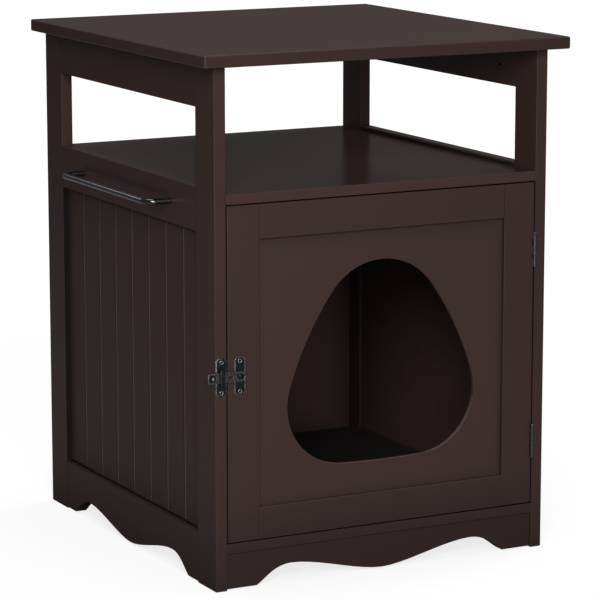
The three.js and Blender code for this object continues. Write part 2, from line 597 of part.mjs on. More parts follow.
for (const side of SIDES) {
  const lowX = Math.min(side.sign * INNER_X, side.sign * HALF_W);
  const sheet = plate(apronOutline(SIDE_LENGTH / 2 - JOINT_GAP, SIDE_APRON_TOP_Z), FRAME_T, EDGE_EASE, 1, 9);
  const tongueX = span(
    side.sign * (HALF_W - SIDE_PANEL_RECESS - SIDE_PANEL_T - PANEL_FIT),
    side.sign * (HALF_W - SIDE_PANEL_RECESS - QUIRK_DEPTH + PANEL_FIT),
  );
  const groove = block(tongueX, [0, BODY_D], [SIDE_APRON_TOP_Z - GROOVE_DEPTH, SIDE_APRON_TOP_Z + 1]);
  piece(`${side.name}_apron`, cut(facingSide(sheet, lowX, MID_Y, 0), groove), espresso);
}

const frontApron = plate(apronOutline(INNER_X - JOINT_GAP, FLOOR_LOW_Z - JOINT_GAP), BOARD_T, EDGE_EASE, 1, 9);
piece('front_apron', facingFront(frontApron, BOARD_T, 0, FRONT_APRON_SETBACK, 0), espresso);

// ---- Beaded side panels: V grooves mark the planks, and a quirk lightens the foot ----
function beadedOutline(sign) {
  const outerX = sign * (HALF_W - SIDE_PANEL_RECESS);
  const innerX = sign * (HALF_W - SIDE_PANEL_RECESS - SIDE_PANEL_T);
  const lowY = POST_W - TONGUE;
  const highY = REAR_POST_Y + TONGUE;
  const outline = new THREE.Shape();
  outline.moveTo(innerX, lowY);
  outline.lineTo(innerX, highY);
  outline.lineTo(outerX, highY);
  for (let k = SIDE_PLANKS - 1; k > 0; k -= 1) {
    const beadY = POST_W + k * SIDE_LENGTH / SIDE_PLANKS;
    outline.lineTo(outerX, beadY + BEAD_W / 2);
    outline.lineTo(outerX - sign * BEAD_DEPTH, beadY);
    outline.lineTo(outerX, beadY - BEAD_W / 2);
  }
  outline.lineTo(outerX, lowY);
  return outline;
}

for (const side of SIDES) {
  const lowZ = SIDE_APRON_TOP_Z - TONGUE;
  const highZ = MIDDLE_RAIL_LOW_Z + TONGUE;
  const sheet = new THREE.ExtrudeGeometry(beadedOutline(side.sign), { depth: highZ - lowZ, bevelEnabled: false });
  sheet.translate(0, 0, lowZ);
  const outerX = HALF_W - SIDE_PANEL_RECESS;
  const quirkX = span(side.sign * (outerX - QUIRK_DEPTH), side.sign * (outerX + 1));
  const quirk = block(quirkX, [0, BODY_D], [lowZ - 1, SIDE_APRON_TOP_Z + QUIRK_H]);
  piece(`${side.name}_side_panel`, cut(sheet, quirk), espressoPanel);
}

// ---- Shelf and floor board, each grooved for the back panel and held by four cam locks ----
function crossBoard(name, lowZ, topZ, grooveZ) {
  const halfWidth = INNER_X - JOINT_GAP;
  const rearY = BODY_D - BOARD_REAR_SETBACK;
  const bores = [];
  for (const side of SIDES) {
    [BOARD_CAM_FROM_END, BODY_D - BOARD_CAM_FROM_END].forEach((y, k) => {
      const face = new THREE.Vector3(side.sign * (INNER_X - BOARD_CAM_FROM_SIDE), y, lowZ);
      bores.push(seatCam(`${name}_${side.name}_cam_${k + 1}`, face, UP, BOARD_CAM_H));
    });
  }
  const groove = block([-BODY_W, BODY_W], BACK_GROOVE_Y, grooveZ);
  piece(name, cut(board([-halfWidth, halfWidth], [0, rearY], [lowZ, topZ]), groove, ...bores), espresso);
}

crossBoard('shelf', SHELF_LOW_Z, SHELF_TOP_Z, [SHELF_LOW_Z - 1, SHELF_LOW_Z + BOARD_GROOVE_DEPTH]);
crossBoard('floor_board', FLOOR_LOW_Z, FLOOR_TOP_Z, [FLOOR_TOP_Z - BOARD_GROOVE_DEPTH, FLOOR_TOP_Z + 1]);

// ---- Back panel ----
piece('back_panel', block(
  [-INNER_X - TONGUE, INNER_X + TONGUE],
  [BACK_PANEL_FRONT_Y, BACK_PANEL_FRONT_Y + BACK_PANEL_T],
  [BACK_GROOVE_Z[0] + TONGUE_GAP, BACK_GROOVE_Z[1] - TONGUE_GAP],
), espressoPanel);

// ---- Door frame ----
const DOOR_GROOVE_Y = [DOOR_PANEL_RECESS - PANEL_FIT, DOOR_PANEL_RECESS + DOOR_PANEL_T + PANEL_FIT];
const STILE_INNER_X = DOOR_HALF_W - STILE_W;
const PANEL_LOW_Z = DOOR_LOW_Z + DOOR_FOOT_RAIL_H;
const PANEL_TOP_Z = DOOR_TOP_Z - DOOR_TOP_RAIL_H;

// The pocket in the door's edge that one hinge leaf lies in.
function leafPocket(hinge) {
  return block(
    [DOOR_LEAF_X[0] - SEAT_GAP, DOOR_HALF_W + 1],
    [-1, LEAF_D + SEAT_GAP],
    [hinge.z - HINGE_H / 2 - SEAT_GAP, hinge.z + HINGE_H / 2 + SEAT_GAP],
  );
}

for (const side of SIDES) {
  const stileX = span(side.sign * STILE_INNER_X, side.sign * DOOR_HALF_W);
  const innerEdge = side.sign * STILE_INNER_X;
  const grooveX = span(innerEdge - side.sign, innerEdge + side.sign * GROOVE_DEPTH);
  const groove = block(grooveX, DOOR_GROOVE_Y, [PANEL_LOW_Z - GROOVE_DEPTH, PANEL_TOP_Z + GROOVE_DEPTH]);
  const hingeCuts = HINGES.flatMap((hinge) => [
    leafPocket(hinge),
    ...hingeScrewPlaces(hinge, DOOR_LEAF_X[1]).map((place) => flatScrewHole(place, LEFT)),
  ]);
  const fixings = side.sign < 0 ? latchScrewPlaces(PIVOT_X).map(latchScrewHole) : hingeCuts;
  const stile = board(stileX, [0, DOOR_T], [DOOR_LOW_Z, DOOR_TOP_Z]);
  piece(`door_${side.name}_stile`, cut(stile, groove, ...fixings), espresso);
}

const DOOR_RAIL_X = [-STILE_INNER_X + JOINT_GAP, STILE_INNER_X - JOINT_GAP];
const topRailGroove = block([-HALF_W, HALF_W], DOOR_GROOVE_Y, [PANEL_TOP_Z - 1, PANEL_TOP_Z + GROOVE_DEPTH]);
piece('door_top_rail', cut(board(DOOR_RAIL_X, [0, DOOR_T], [PANEL_TOP_Z, DOOR_TOP_Z]), topRailGroove), espresso);
const footRailGroove = block([-HALF_W, HALF_W], DOOR_GROOVE_Y, [PANEL_LOW_Z - GROOVE_DEPTH, PANEL_LOW_Z + 1]);
piece('door_bottom_rail', cut(board(DOOR_RAIL_X, [0, DOOR_T], [DOOR_LOW_Z, PANEL_LOW_Z]), footRailGroove), espresso);

// ---- Door panel and the cat's opening ----

// The centre of the flank's arc, which touches the crown's circle and the corner's from outside
// their far sides: it lies where two circles about their centres cross.
function flankCentre(crown, corner) {
  const toCrown = ENTRY_FLANK_R - ENTRY_CROWN_R;
  const toCorner = ENTRY_FLANK_R - ENTRY_CORNER_R;
  const line = corner.clone().sub(crown);
  const distance = line.length();
  const along = (toCrown ** 2 - toCorner ** 2 + distance ** 2) / (2 * distance);
  const across = Math.sqrt(toCrown ** 2 - along ** 2);
  line.normalize();
  return new THREE.Vector2(
    crown.x + line.x * along + line.y * across,
    crown.y + line.y * along - line.x * across,
  );
}

function entryOutline() {
  const crown = new THREE.Vector2(0, ENTRY_TOP_Z - ENTRY_CROWN_R);
  const sill = new THREE.Vector2(0, ENTRY_LOW_Z + ENTRY_SILL_R);
  const cornerX = ENTRY_HALF_W - ENTRY_CORNER_R;
  const cornerDrop = Math.sqrt((ENTRY_SILL_R - ENTRY_CORNER_R) ** 2 - cornerX ** 2);
  const corner = new THREE.Vector2(cornerX, sill.y - cornerDrop);
  const flank = flankCentre(crown, corner);
  const crownTurn = crown.clone().sub(flank).angle();
  const cornerTurn = corner.clone().sub(flank).angle();
  const sillTurn = corner.clone().sub(sill).angle() - 2 * Math.PI;
  const outline = new THREE.Path();
  outline.absarc(sill.x, sill.y, ENTRY_SILL_R, -Math.PI - sillTurn, sillTurn);
  outline.absarc(corner.x, corner.y, ENTRY_CORNER_R, sillTurn, cornerTurn);
  outline.absarc(flank.x, flank.y, ENTRY_FLANK_R, cornerTurn, crownTurn);
  outline.absarc(crown.x, crown.y, ENTRY_CROWN_R, crownTurn, Math.PI - crownTurn);
  outline.absarc(-flank.x, flank.y, ENTRY_FLANK_R, Math.PI - crownTurn, Math.PI - cornerTurn);
  outline.absarc(-corner.x, corner.y, ENTRY_CORNER_R, Math.PI - cornerTurn, Math.PI - sillTurn);
  return outline;
}

const panelHalfW = STILE_INNER_X + TONGUE;
const panelOutline = new THREE.Shape([
  new THREE.Vector2(-panelHalfW, PANEL_LOW_Z - TONGUE),
  new THREE.Vector2(panelHalfW, PANEL_LOW_Z - TONGUE),
  new THREE.Vector2(panelHalfW, PANEL_TOP_Z + TONGUE),
  new THREE.Vector2(-panelHalfW, PANEL_TOP_Z + TONGUE),
]);
panelOutline.holes.push(entryOutline());
const doorPanel = plate(panelOutline, DOOR_PANEL_T, EDGE_EASE, 1, 10);
piece('door_panel', facingFront(doorPanel, DOOR_PANEL_T, 0, DOOR_PANEL_RECESS, 0), espressoPanel);

// ---- Towel bar: one bent rod, screwed from inside the middle rail ----
function towelPath() {
  const footX = -HALF_W - SEAT_GAP;
  const farX = -HALF_W - TOWEL_REACH;
  const bendSteps = 8;
  const path = [];
  for (const [footY, sign] of [[TOWEL_FEET_Y[0], 1], [TOWEL_FEET_Y[1], -1]]) {
    const half = [new THREE.Vector3(footX, footY, TOWEL_Z)];
    for (let k = 0; k <= bendSteps; k += 1) {
      const turn = (k / bendSteps) * Math.PI / 2;
      const x = farX + TOWEL_BEND_R * (1 - Math.sin(turn));
      const y = footY + sign * TOWEL_BEND_R * (1 - Math.cos(turn));
      half.push(new THREE.Vector3(x, y, TOWEL_Z));
    }
    path.push(...(sign > 0 ? half : half.reverse()));
  }
  return path;
}

// A closed round rod along a level path: one ring of corners at each point, square to the path.
function rodAlong(path, radius, sides) {
  const positions = [];
  const triangles = [];
  path.forEach((point, k) => {
    const before = path[Math.max(k - 1, 0)];
    const after = path[Math.min(k + 1, path.length - 1)];
    const across = UP.clone().cross(after.clone().sub(before)).normalize();
    for (let s = 0; s < sides; s += 1) {
      const turn = (s / sides) * 2 * Math.PI;
      const corner = point.clone();
      corner.addScaledVector(across, radius * Math.cos(turn));
      corner.addScaledVector(UP, radius * Math.sin(turn));
      positions.push(corner.x, corner.y, corner.z);
    }
  });
  for (let k = 0; k < path.length - 1; k += 1) {
    for (let s = 0; s < sides; s += 1) {
      const here = k * sides + s;
      const beside = k * sides + (s + 1) % sides;
      triangles.push(here, beside, here + sides, beside, beside + sides, here + sides);
    }
  }
  const last = (path.length - 1) * sides;
  for (let s = 1; s < sides - 1; s += 1) {
    triangles.push(0, s + 1, s);
    triangles.push(last, last + s, last + s + 1);
  }
  const geometry = new THREE.BufferGeometry();
  geometry.setAttribute('position', new THREE.Float32BufferAttribute(positions, 3));
  geometry.setIndex(triangles);
  geometry.computeVertexNormals();
  return geometry;
}

const threads = TOWEL_FEET_Y.map((y) => {
  const from = new THREE.Vector3(-HALF_W + 1, y, TOWEL_Z);
  return roundBar(from, LEFT, MACHINE_SCREW_R + SCREW_FIT, 1 + SEAT_GAP + TOWEL_SCREW_DEPTH + TONGUE_GAP, 16);
});
piece('towel_bar', cut(rodAlong(towelPath(), TOWEL_ROD_R, 16), ...threads), blackIron);
TOWEL_FEET_Y.forEach((y, k) => {
  const seat = new THREE.Vector3(-INNER_X + SEAT_GAP, y, TOWEL_Z);
  const length = FRAME_T + 2 * SEAT_GAP + TOWEL_SCREW_DEPTH;
  const screw = panScrew(MACHINE_HEAD_R, MACHINE_HEAD_H, MACHINE_SCREW_R, length);
  piece(`towel_bar_screw_${k + 1}`, aim(screw, seat, LEFT), zinc);
});

// ---- Origin: the bottom centre of the whole object, towel bar and overhangs included ----
const leftX = -HALF_W - TOWEL_REACH - TOWEL_ROD_R;
const rightX = HALF_W + TOP_SIDE_OVERHANG;
cabinet.position.set(-(leftX + rightX) / 2, -(BODY_D - TOP_FRONT_OVERHANG) / 2, 0);

export default cabinet;
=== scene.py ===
"""A cat litter box cabinet in satin espresso paint: an open bay under an overhanging top, and below it an
enclosed litter room with a cat-sized opening in its latched door, beaded sides and a black towel bar."""
import json
import math

import bmesh
import bpy
from mathutils import Matrix, Vector


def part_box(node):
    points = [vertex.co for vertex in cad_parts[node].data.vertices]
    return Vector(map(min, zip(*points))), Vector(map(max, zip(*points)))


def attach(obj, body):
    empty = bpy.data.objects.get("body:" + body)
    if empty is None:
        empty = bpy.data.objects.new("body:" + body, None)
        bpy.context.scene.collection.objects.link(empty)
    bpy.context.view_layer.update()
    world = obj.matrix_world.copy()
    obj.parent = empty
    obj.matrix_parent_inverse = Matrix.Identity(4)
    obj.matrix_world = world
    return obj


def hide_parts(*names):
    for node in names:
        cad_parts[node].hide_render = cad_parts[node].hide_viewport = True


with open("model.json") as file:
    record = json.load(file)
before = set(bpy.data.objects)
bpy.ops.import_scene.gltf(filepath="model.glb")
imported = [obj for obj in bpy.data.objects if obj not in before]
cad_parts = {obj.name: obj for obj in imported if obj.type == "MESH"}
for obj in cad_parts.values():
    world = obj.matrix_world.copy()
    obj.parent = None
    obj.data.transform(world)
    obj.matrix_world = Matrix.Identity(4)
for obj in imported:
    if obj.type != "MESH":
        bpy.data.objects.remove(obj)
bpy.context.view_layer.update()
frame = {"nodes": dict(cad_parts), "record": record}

# ------------------------------------------------------------
# Camera: a long lens a little above the top board, looking at the front and the left side.
# ------------------------------------------------------------
CAMERA_PLACE = (-1.6964, -3.2789, 0.9924)
CAMERA_TURN_DEG = 27.593  # clockwise from straight ahead
CAMERA_TILT_DEG = 10.713  # below the horizon
CAMERA_LENS_MM, CAMERA_SENSOR_MM = 177.48, 36


def add_object(name, data):
    """An object that stands in the scene."""
    thing = bpy.data.objects.new(name, data)
    bpy.context.scene.collection.objects.link(thing)
    return thing


camera_data = bpy.data.cameras.new("cabinet_camera")
camera_data.sensor_width = CAMERA_SENSOR_MM
camera_data.lens = CAMERA_LENS_MM
camera = add_object("cabinet_camera", camera_data)
camera.location = CAMERA_PLACE
camera.rotation_euler = (math.radians(90 - CAMERA_TILT_DEG), 0, -math.radians(CAMERA_TURN_DEG))
bpy.context.scene.camera = camera

# ------------------------------------------------------------
# Top board: one slab of 15 mm fibreboard with rounded edges, sprayed with satin espresso paint and
# drawn down on the posts and rails by hidden cam bolts. It overhangs the front and both sides.
# ------------------------------------------------------------
BODY_MIDDLE_X = 6.65  # mm; the cabinet's own middle, and the front of its posts, in the frame
BODY_FRONT_Y = -238.5
TOP_FRONT_Y = -19.0
ESPRESSO = (0.0500, 0.0278, 0.0236)  # the paint's own brown, as linear light
PALE_EDGE_PAINT_AND_HIGHLIGHT = (0.0800, 0.0480, 0.0420)  # paler at edges: thinner paint there, and painted highlight where edges catch the light
JOINT_AND_SHADE_DARK = (0.0050, 0.0048, 0.0052)  # the colour of dark joints, and of painted shade in inside corners where no light reaches
COAT_DRIFT_SCALE, SPECK_SCALE, EDGE_PATCH_SCALE = 4.5, 620, 60  # noise patterns in the paint's colour
FIBRE_SCALE, FIBRE_STRETCH, GLOSS_SCALE, PEEL_SCALE = 420, 0.06, 9, 700  # and in its surface
FIBRE_TO_PEEL = 0.35
PAINT_BUMP, PAINT_BUMP_HEIGHT = 0.10, 0.0004
SHARP_ANGLE = math.radians(50)  # eased edges, at 45 degrees, shade as soft roundings
SLANT_COS = 0.985  # a slanted face leans from every axis by more than this cosine's angle
EVERYWHERE = (-1000, 1000)


def place(x, y, z):
    """Millimetres from the body's middle, its posts' front and the floor, as a point of the frame."""
    return Vector(((x + BODY_MIDDLE_X) / 1000, (y + BODY_FRONT_Y) / 1000, z / 1000))


def feed(tree, slot, value):
    """Links a socket into a slot, or sets the slot to a plain value."""
    if isinstance(value, bpy.types.NodeSocket):
        tree.links.new(value, slot)
    else:
        slot.default_value = value


def add_node(tree, kind, inputs):
    """A node of a kind, or one that uses a node group, with its named inputs set or linked."""
    node = tree.nodes.new(kind if isinstance(kind, str) else "ShaderNodeGroup")
    if not isinstance(kind, str):
        node.node_tree = kind
    for name, value in inputs.items():
        feed(tree, node.inputs[name], value)
    return node


def new_group(name, inputs, outputs):
    """A shader node group with named float, colour or vector sockets, and its ends to link to."""
    kinds = {"float": "NodeSocketFloat", "color": "NodeSocketColor", "vector": "NodeSocketVector"}
    group = bpy.data.node_groups.new(name, "ShaderNodeTree")
    for socket, kind, value in inputs:
        given = group.interface.new_socket(name=socket, in_out="INPUT", socket_type=kinds[kind])
        given.default_value = value
    for socket, kind in outputs:
        group.interface.new_socket(name=socket, in_out="OUTPUT", socket_type=kinds[kind])
    return group, group.nodes.new("NodeGroupInput").outputs, group.nodes.new("NodeGroupOutput").inputs


def reckon(tree, operation, *values, kind="ShaderNodeMath"):
    """One step of arithmetic on numbers or the sockets that carry them."""
    node = tree.nodes.new(kind)
    node.operation = operation
    for slot, value in zip(node.inputs, values):
        feed(tree, slot, value)
    return node.outputs[0]


def reckon_vector(tree, operation, *values):
    return reckon(tree, operation, *values, kind="ShaderNodeVectorMath")


def on_object(tree):
    """Where a point lies on its object, in metres."""
    return tree.nodes.new("ShaderNodeTexCoord").outputs["Object"]


def noise(tree, vector, scale, detail, roughness=0.5):
    inputs = {"Vector": vector, "Scale": scale, "Detail": detail, "Roughness": roughness}
    return add_node(tree, "ShaderNodeTexNoise", inputs).outputs["Fac"]


def uneven(tree, pattern, amount):
    """Swings a noise pattern round nought, by an amount."""
    return reckon(tree, "MULTIPLY", reckon(tree, "SUBTRACT", pattern, 0.5), amount)


def face_mask(tree, name):
    """A number that a mesh keeps on each of its faces."""
    node = tree.nodes.new("ShaderNodeAttribute")
    node.attribute_name = name
    return node.outputs["Fac"]


def blend_colors(tree, factor, first, second):
    """Mixes two colour sockets by a factor socket."""
    node = tree.nodes.new("ShaderNodeMix")
    node.data_type = "RGBA"
    tree.links.new(factor, node.inputs["Factor"])
    for name, value in (("A", first), ("B", second)):
        slot = next(s for s in node.inputs if s.name == name and s.type == "RGBA")
        tree.links.new(value, slot)
    return next(s for s in node.outputs if s.type == "RGBA")


def make_paint_tone():
    """Colour of sprayed paint: slow drifts from coat to coat, fine specks, paler edges (thin paint and
    painted highlight), dark joints and painted shade in corners.
    """
    group, given, made = new_group(
        "sprayed paint tone",
        [("Paint", "color", (*ESPRESSO, 1)), ("Edge Paint And Highlight", "color", (*PALE_EDGE_PAINT_AND_HIGHLIGHT, 1)),
         ("Joint And Shade Dark", "color", (*JOINT_AND_SHADE_DARK, 1)), ("Drift", "float", 0.1), ("Speck", "float", 0.05),
         ("Edge Show", "float", 0.5), ("Shade", "float", 0.0)],
        [("Color", "color")])
    where = on_object(group)
    drift = uneven(group, noise(group, where, COAT_DRIFT_SCALE, 3), given["Drift"])
    speck = uneven(group, noise(group, where, SPECK_SCALE, 2), given["Speck"])
    level = reckon(group, "ADD", reckon(group, "ADD", drift, speck), 1.0)
    shown = reckon(group, "MULTIPLY", face_mask(group, "eased_edge"), given["Edge Show"])
    patchy = reckon(group, "MULTIPLY", shown, reckon(group, "ADD", noise(group, where, EDGE_PATCH_SCALE, 3), 0.25))
    paint = blend_colors(group, patchy, given["Paint"], given["Edge Paint And Highlight"])
    tinted = reckon_vector(group, "MULTIPLY", paint, level)
    hidden = reckon(group, "MAXIMUM", face_mask(group, "recess"), given["Shade"])
    group.links.new(blend_colors(group, hidden, tinted, given["Joint And Shade Dark"]), made["Color"])
    return group


def make_paint_skin():
    """Surface of sprayed paint: orange peel, faint board fibres along one axis, uneven gloss."""
    group, given, made = new_group(
        "sprayed paint skin",
        [("Gloss Roughness", "float", 0.45), ("Gloss Spread", "float", 0.06), ("Peel", "float", 1.0),
         ("Fibre", "float", 0.4), ("Stretch", "vector", (1, 1, 1)), ("Shade", "float", 0.0)],
        [("Roughness", "float"), ("Height", "float")])
    where = on_object(group)
    patches = uneven(group, noise(group, where, GLOSS_SCALE, 4, 0.6), given["Gloss Spread"])
    rough = reckon(group, "ADD", given["Gloss Roughness"], patches)
    hidden = reckon(group, "MAXIMUM", face_mask(group, "recess"), given["Shade"])
    # the paint turns matt under the painted shade and in dark joints
    duller_in_shade = reckon(group, "ADD", rough, reckon(group, "MULTIPLY", hidden, 0.6))
    group.links.new(duller_in_shade, made["Roughness"])
    along = reckon_vector(group, "MULTIPLY", where, given["Stretch"])
    fibres = reckon(group, "MULTIPLY", noise(group, along, FIBRE_SCALE, 3, 0.6), given["Fibre"])
    peel = reckon(group, "MULTIPLY", noise(group, where, PEEL_SCALE, 1.5), given["Peel"])
    group.links.new(reckon(group, "ADD", peel, fibres), made["Height"])
    return group


def make_joint_and_shade_box():
    """A dark joint, or painted shade in a corner: a mask round a box, in mm from the body's middle, front and
    floor.
    X counts from the middle to either side, so one box serves the left and the right."""
    group, given, made = new_group(
        "dark joint or painted shade",
        [("Low", "vector", (0, 0, 0)), ("High", "vector", (1, 1, 1)), ("Softness", "vector", (1, 1, 1)),
         ("Depth", "float", 0.5)],
        [("Mask", "float")])
    in_mm = reckon_vector(group, "MULTIPLY", on_object(group), (1000, 1000, 1000))
    offset = reckon_vector(group, "SUBTRACT", in_mm, (BODY_MIDDLE_X, BODY_FRONT_Y, 0))
    mirrored = reckon_vector(group, "MULTIPLY", offset, (-1, 1, 1))
    sideless = reckon_vector(group, "MAXIMUM", offset, mirrored)
    below = reckon_vector(group, "SUBTRACT", given["Low"], sideless)
    above = reckon_vector(group, "SUBTRACT", sideless, given["High"])
    beyond = reckon_vector(group, "MAXIMUM", below, above)
    in_softness = reckon_vector(group, "DIVIDE", beyond, given["Softness"])
    outside = add_node(group, "ShaderNodeSeparateXYZ", {"Vector": in_softness}).outputs
    farther = reckon(group, "MAXIMUM", outside["Y"], outside["Z"])
    distance = reckon(group, "MAXIMUM", outside["X"], farther)
    nearness = reckon(group, "MAXIMUM", reckon(group, "SUBTRACT", 1.0, distance), 0.0)
    inside = reckon(group, "MINIMUM", nearness, 1.0)
    soft = reckon(group, "MULTIPLY", inside, reckon(group, "MULTIPLY", inside, given["Depth"]))
    group.links.new(soft, made["Mask"])
    return group


PAINT_TONE, PAINT_SKIN, JOINT_AND_SHADE_BOX = make_paint_tone(), make_paint_skin(), make_joint_and_shade_box()


def joint_or_shade(x=EVERYWHERE, y=EVERYWHERE, z=EVERYWHERE, soft=1.0, depth=0.5):
    """A box of dark joint or painted shade: its three ranges in mm, how far it fades beyond them (one length,
    or one for each axis), and how dark and matt it is, from 0 to 1."""
    low, high = zip(x, y, z)
    softness = soft if isinstance(soft, tuple) else (soft,) * 3
    return {"Low": low, "High": high, "Softness": softness, "Depth": depth}


def around(middle, half):
    return middle - half, middle + half


def new_material(name):
    material = bpy.data.materials.new(name)
    material.use_nodes = True
    return material, material.node_tree, material.node_tree.nodes["Principled BSDF"].inputs


def cover(tree, shader, color, surface, strength, distance):
    """Feeds a shader with a colour, and with the roughness and the bumps of a surface."""
    bump = {"Strength": strength, "Distance": distance, "Height": surface["Height"]}
    tree.links.new(color, shader["Base Color"])
    tree.links.new(surface["Roughness"], shader["Roughness"])
    tree.links.new(add_node(tree, "ShaderNodeBump", bump).outputs["Normal"], shader["Normal"])


def painted(name, fibres_along, joint_and_shade_boxes=(), roughness=0.46, drift=0.12, peel=1.0, edge_show=0.3,
            edge=PALE_EDGE_PAINT_AND_HIGHLIGHT, paint=ESPRESSO, specular=0.25):
    """Satin espresso paint on fibreboard whose long fibres lie along one axis."""
    material, tree, shader = new_material(name)
    shader["Specular IOR Level"].default_value = specular
    # painted shade, and dark joints, from the boxes
    shade = 0.0
    for box in joint_and_shade_boxes:
        shade = reckon(tree, "MAXIMUM", shade, add_node(tree, JOINT_AND_SHADE_BOX, box).outputs["Mask"])
    tone = add_node(tree, PAINT_TONE, {
        "Paint": (*paint, 1), "Edge Paint And Highlight": (*edge, 1), "Drift": drift, "Edge Show": edge_show,
        "Shade": shade})
    stretch = [FIBRE_STRETCH if axis == fibres_along else 1.0 for axis in "XYZ"]
    skin = add_node(tree, PAINT_SKIN, {
        "Gloss Roughness": roughness, "Peel": peel, "Fibre": FIBRE_TO_PEEL * peel, "Stretch": stretch,
        "Shade": shade})
    cover(tree, shader, tone.outputs["Color"], skin.outputs, PAINT_BUMP, PAINT_BUMP_HEIGHT)
    return material


def slanted(face):
    return 1.0 if max(abs(c) for c in face.normal) < SLANT_COS else 0.0


def finish_mesh(piece, material, body, slot, node, sharp=SHARP_ANGLE, eased=slanted, recess=None):
    """Smooth faces with firm edges, the rules' face masks, a material, a body and the node it stands for."""
    mesh = piece.data
    bm = bmesh.new()
    bm.from_mesh(mesh)
    for edge in bm.edges:
        edge.smooth = len(edge.link_faces) == 2 and edge.calc_face_angle() < sharp
    for face in bm.faces:
        face.smooth = True
    bm.to_mesh(mesh)
    bm.free()
    for name, rule in (("eased_edge", eased), ("recess", recess)):
        if rule is not None:
            values = [rule(face) for face in mesh.polygons]
            mesh.attributes.new(name, "FLOAT", "FACE").data.foreach_set("value", values)
    weighted = piece.modifiers.new("soft edges", "WEIGHTED_NORMAL")
    weighted.keep_sharp = True
    mesh.materials.append(material)
    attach(piece, body)
    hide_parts(node)


def piece_from_solid(node, name):
    """A clean copy of a node's solid: welded corners and no stored normals."""
    bm = bmesh.new()
    bm.from_mesh(frame["nodes"][node].data)
    bmesh.ops.remove_doubles(bm, verts=bm.verts, dist=2e-6)
    bmesh.ops.dissolve_degenerate(bm, edges=bm.edges, dist=1e-7)
    corners = [v.co.copy() for v in bm.verts]
    bm.verts.index_update()
    faces = [[v.index for v in f.verts] for f in bm.faces]
    bm.free()
    mesh = bpy.data.meshes.new(name)
    mesh.from_pydata(corners, [], faces)
    return add_object(name, mesh)


def paint_board(node, paint, body="cabinet", **rules):
    finish_mesh(piece_from_solid(node, "painted_" + node), paint, body, "painted_wood", node, **rules)


# painted shade on the top board's front edge
top_front_edge = joint_or_shade(y=(TOP_FRONT_Y - 1, TOP_FRONT_Y + 0.4), z=(620, 638.5), soft=0.8, depth=0.16)
paint_board("top_board", painted("espresso top paint", "X", [top_front_edge], roughness=0.36))

# ------------------------------------------------------------
# Posts: four boards 50 by 15 mm that run the full height and stand on the floor, grooved for the
# side and back panels. Paint is darker where rails butt against them, with painted shade in the shut door's
# gap.
# ------------------------------------------------------------
POST_OUTER_X, POST_INNER_X = 226.0, 211.0
POST_DEPTH = 50.0
REAR_POST_Y = 446.0
SIDE_PANEL_X = 219.6  # the beaded panels' outer faces
DOOR_ROOM_Z = (56.8, 463.4)  # from the floor board up to the shelf
APRON_Z, MIDDLE_RAIL_Z, TOP_RAIL_Z = (0.0, 62.2), (426.7, 480.2), (573.6, 625.0)
SEAM = {"soft": 0.7, "depth": 0.75}
OUTER_FACE_X = (POST_OUTER_X - 20, POST_OUTER_X + 1)
near_floor = joint_or_shade(z=(-10, 0), soft=(1, 1, 120), depth=0.42)  # painted shade, darker towards the floor


def seams_across_posts(seam_y):
    return [joint_or_shade(OUTER_FACE_X, around(seam_y, 0.35), z, **SEAM) for z in (APRON_Z, MIDDLE_RAIL_Z, TOP_RAIL_Z)]


# painted shade on the post's face inside the door's gap
door_gap_face = joint_or_shade(around(POST_INNER_X, 0.2), (-1, 15), DOOR_ROOM_Z, 0.5, 0.97)
between_rails = (APRON_Z[1], MIDDLE_RAIL_Z[0])
# painted shade on the rear posts' step beside the side panels
panel_step_face = joint_or_shade(
    (SIDE_PANEL_X + 0.2, POST_OUTER_X - 0.5), around(REAR_POST_Y, 0.3), between_rails, 0.3, 0.95)
# painted shade in the rear posts' inner corners
rear_inner_corner = joint_or_shade((POST_INNER_X - 1, SIDE_PANEL_X - 4.8), (REAR_POST_Y - 1, 475), (58, 460), 1.0, 0.55)
front_post_boxes = seams_across_posts(POST_DEPTH) + [door_gap_face, near_floor]
rear_post_boxes = seams_across_posts(REAR_POST_Y) + [panel_step_face, rear_inner_corner, near_floor]
for rank, boxes in (("front", front_post_boxes), ("rear", rear_post_boxes)):
    post_paint = painted(f"espresso {rank} post paint", "Z", boxes, roughness=0.44)
    for side in ("left", "right"):
        paint_board(f"{side}_{rank}_post", post_paint)

# ------------------------------------------------------------
# Side rails and aprons: level boards between the posts, cam-locked and glued to them. The aprons'
# scalloped lower edges, and the front apron's below the floor board, are cut with a router.
# ------------------------------------------------------------
LIT_TOP_ABOVE = 0.47  # m; the rails' tops, but not the aprons'
rail_ends = [joint_or_shade(OUTER_FACE_X, y, **SEAM) for y in ((0, POST_DEPTH + 0.5), (REAR_POST_Y - 0.5, 500))]
# painted shade on the rails' inner lip above the shelf
shelf_lip_face = joint_or_shade(around(POST_INNER_X, 0.3), z=(474, 477.8), soft=0.5, depth=0.97)
rod_shadow_band = joint_or_shade((POST_OUTER_X - 0.5, POST_OUTER_X + 1), (128, 368), (459.5, 461), 9, 0.42)  # painted shadow of the towel bar on the rail
# painted shade on the aprons' tops under the panels' foot
apron_lip = joint_or_shade((POST_INNER_X - 0.5, POST_INNER_X + 8), z=(56, 63), soft=(0.5, 1, 0.5), depth=0.7)
rail_paint = painted("espresso rail paint", "Y", rail_ends + [shelf_lip_face], roughness=0.34, edge_show=0.9)
towel_rail_paint = painted(
    "espresso towel rail paint", "Y", rail_ends + [shelf_lip_face, rod_shadow_band], roughness=0.36, edge_show=0.9)
apron_paint = painted("espresso side apron paint", "Y", rail_ends + [near_floor, apron_lip])


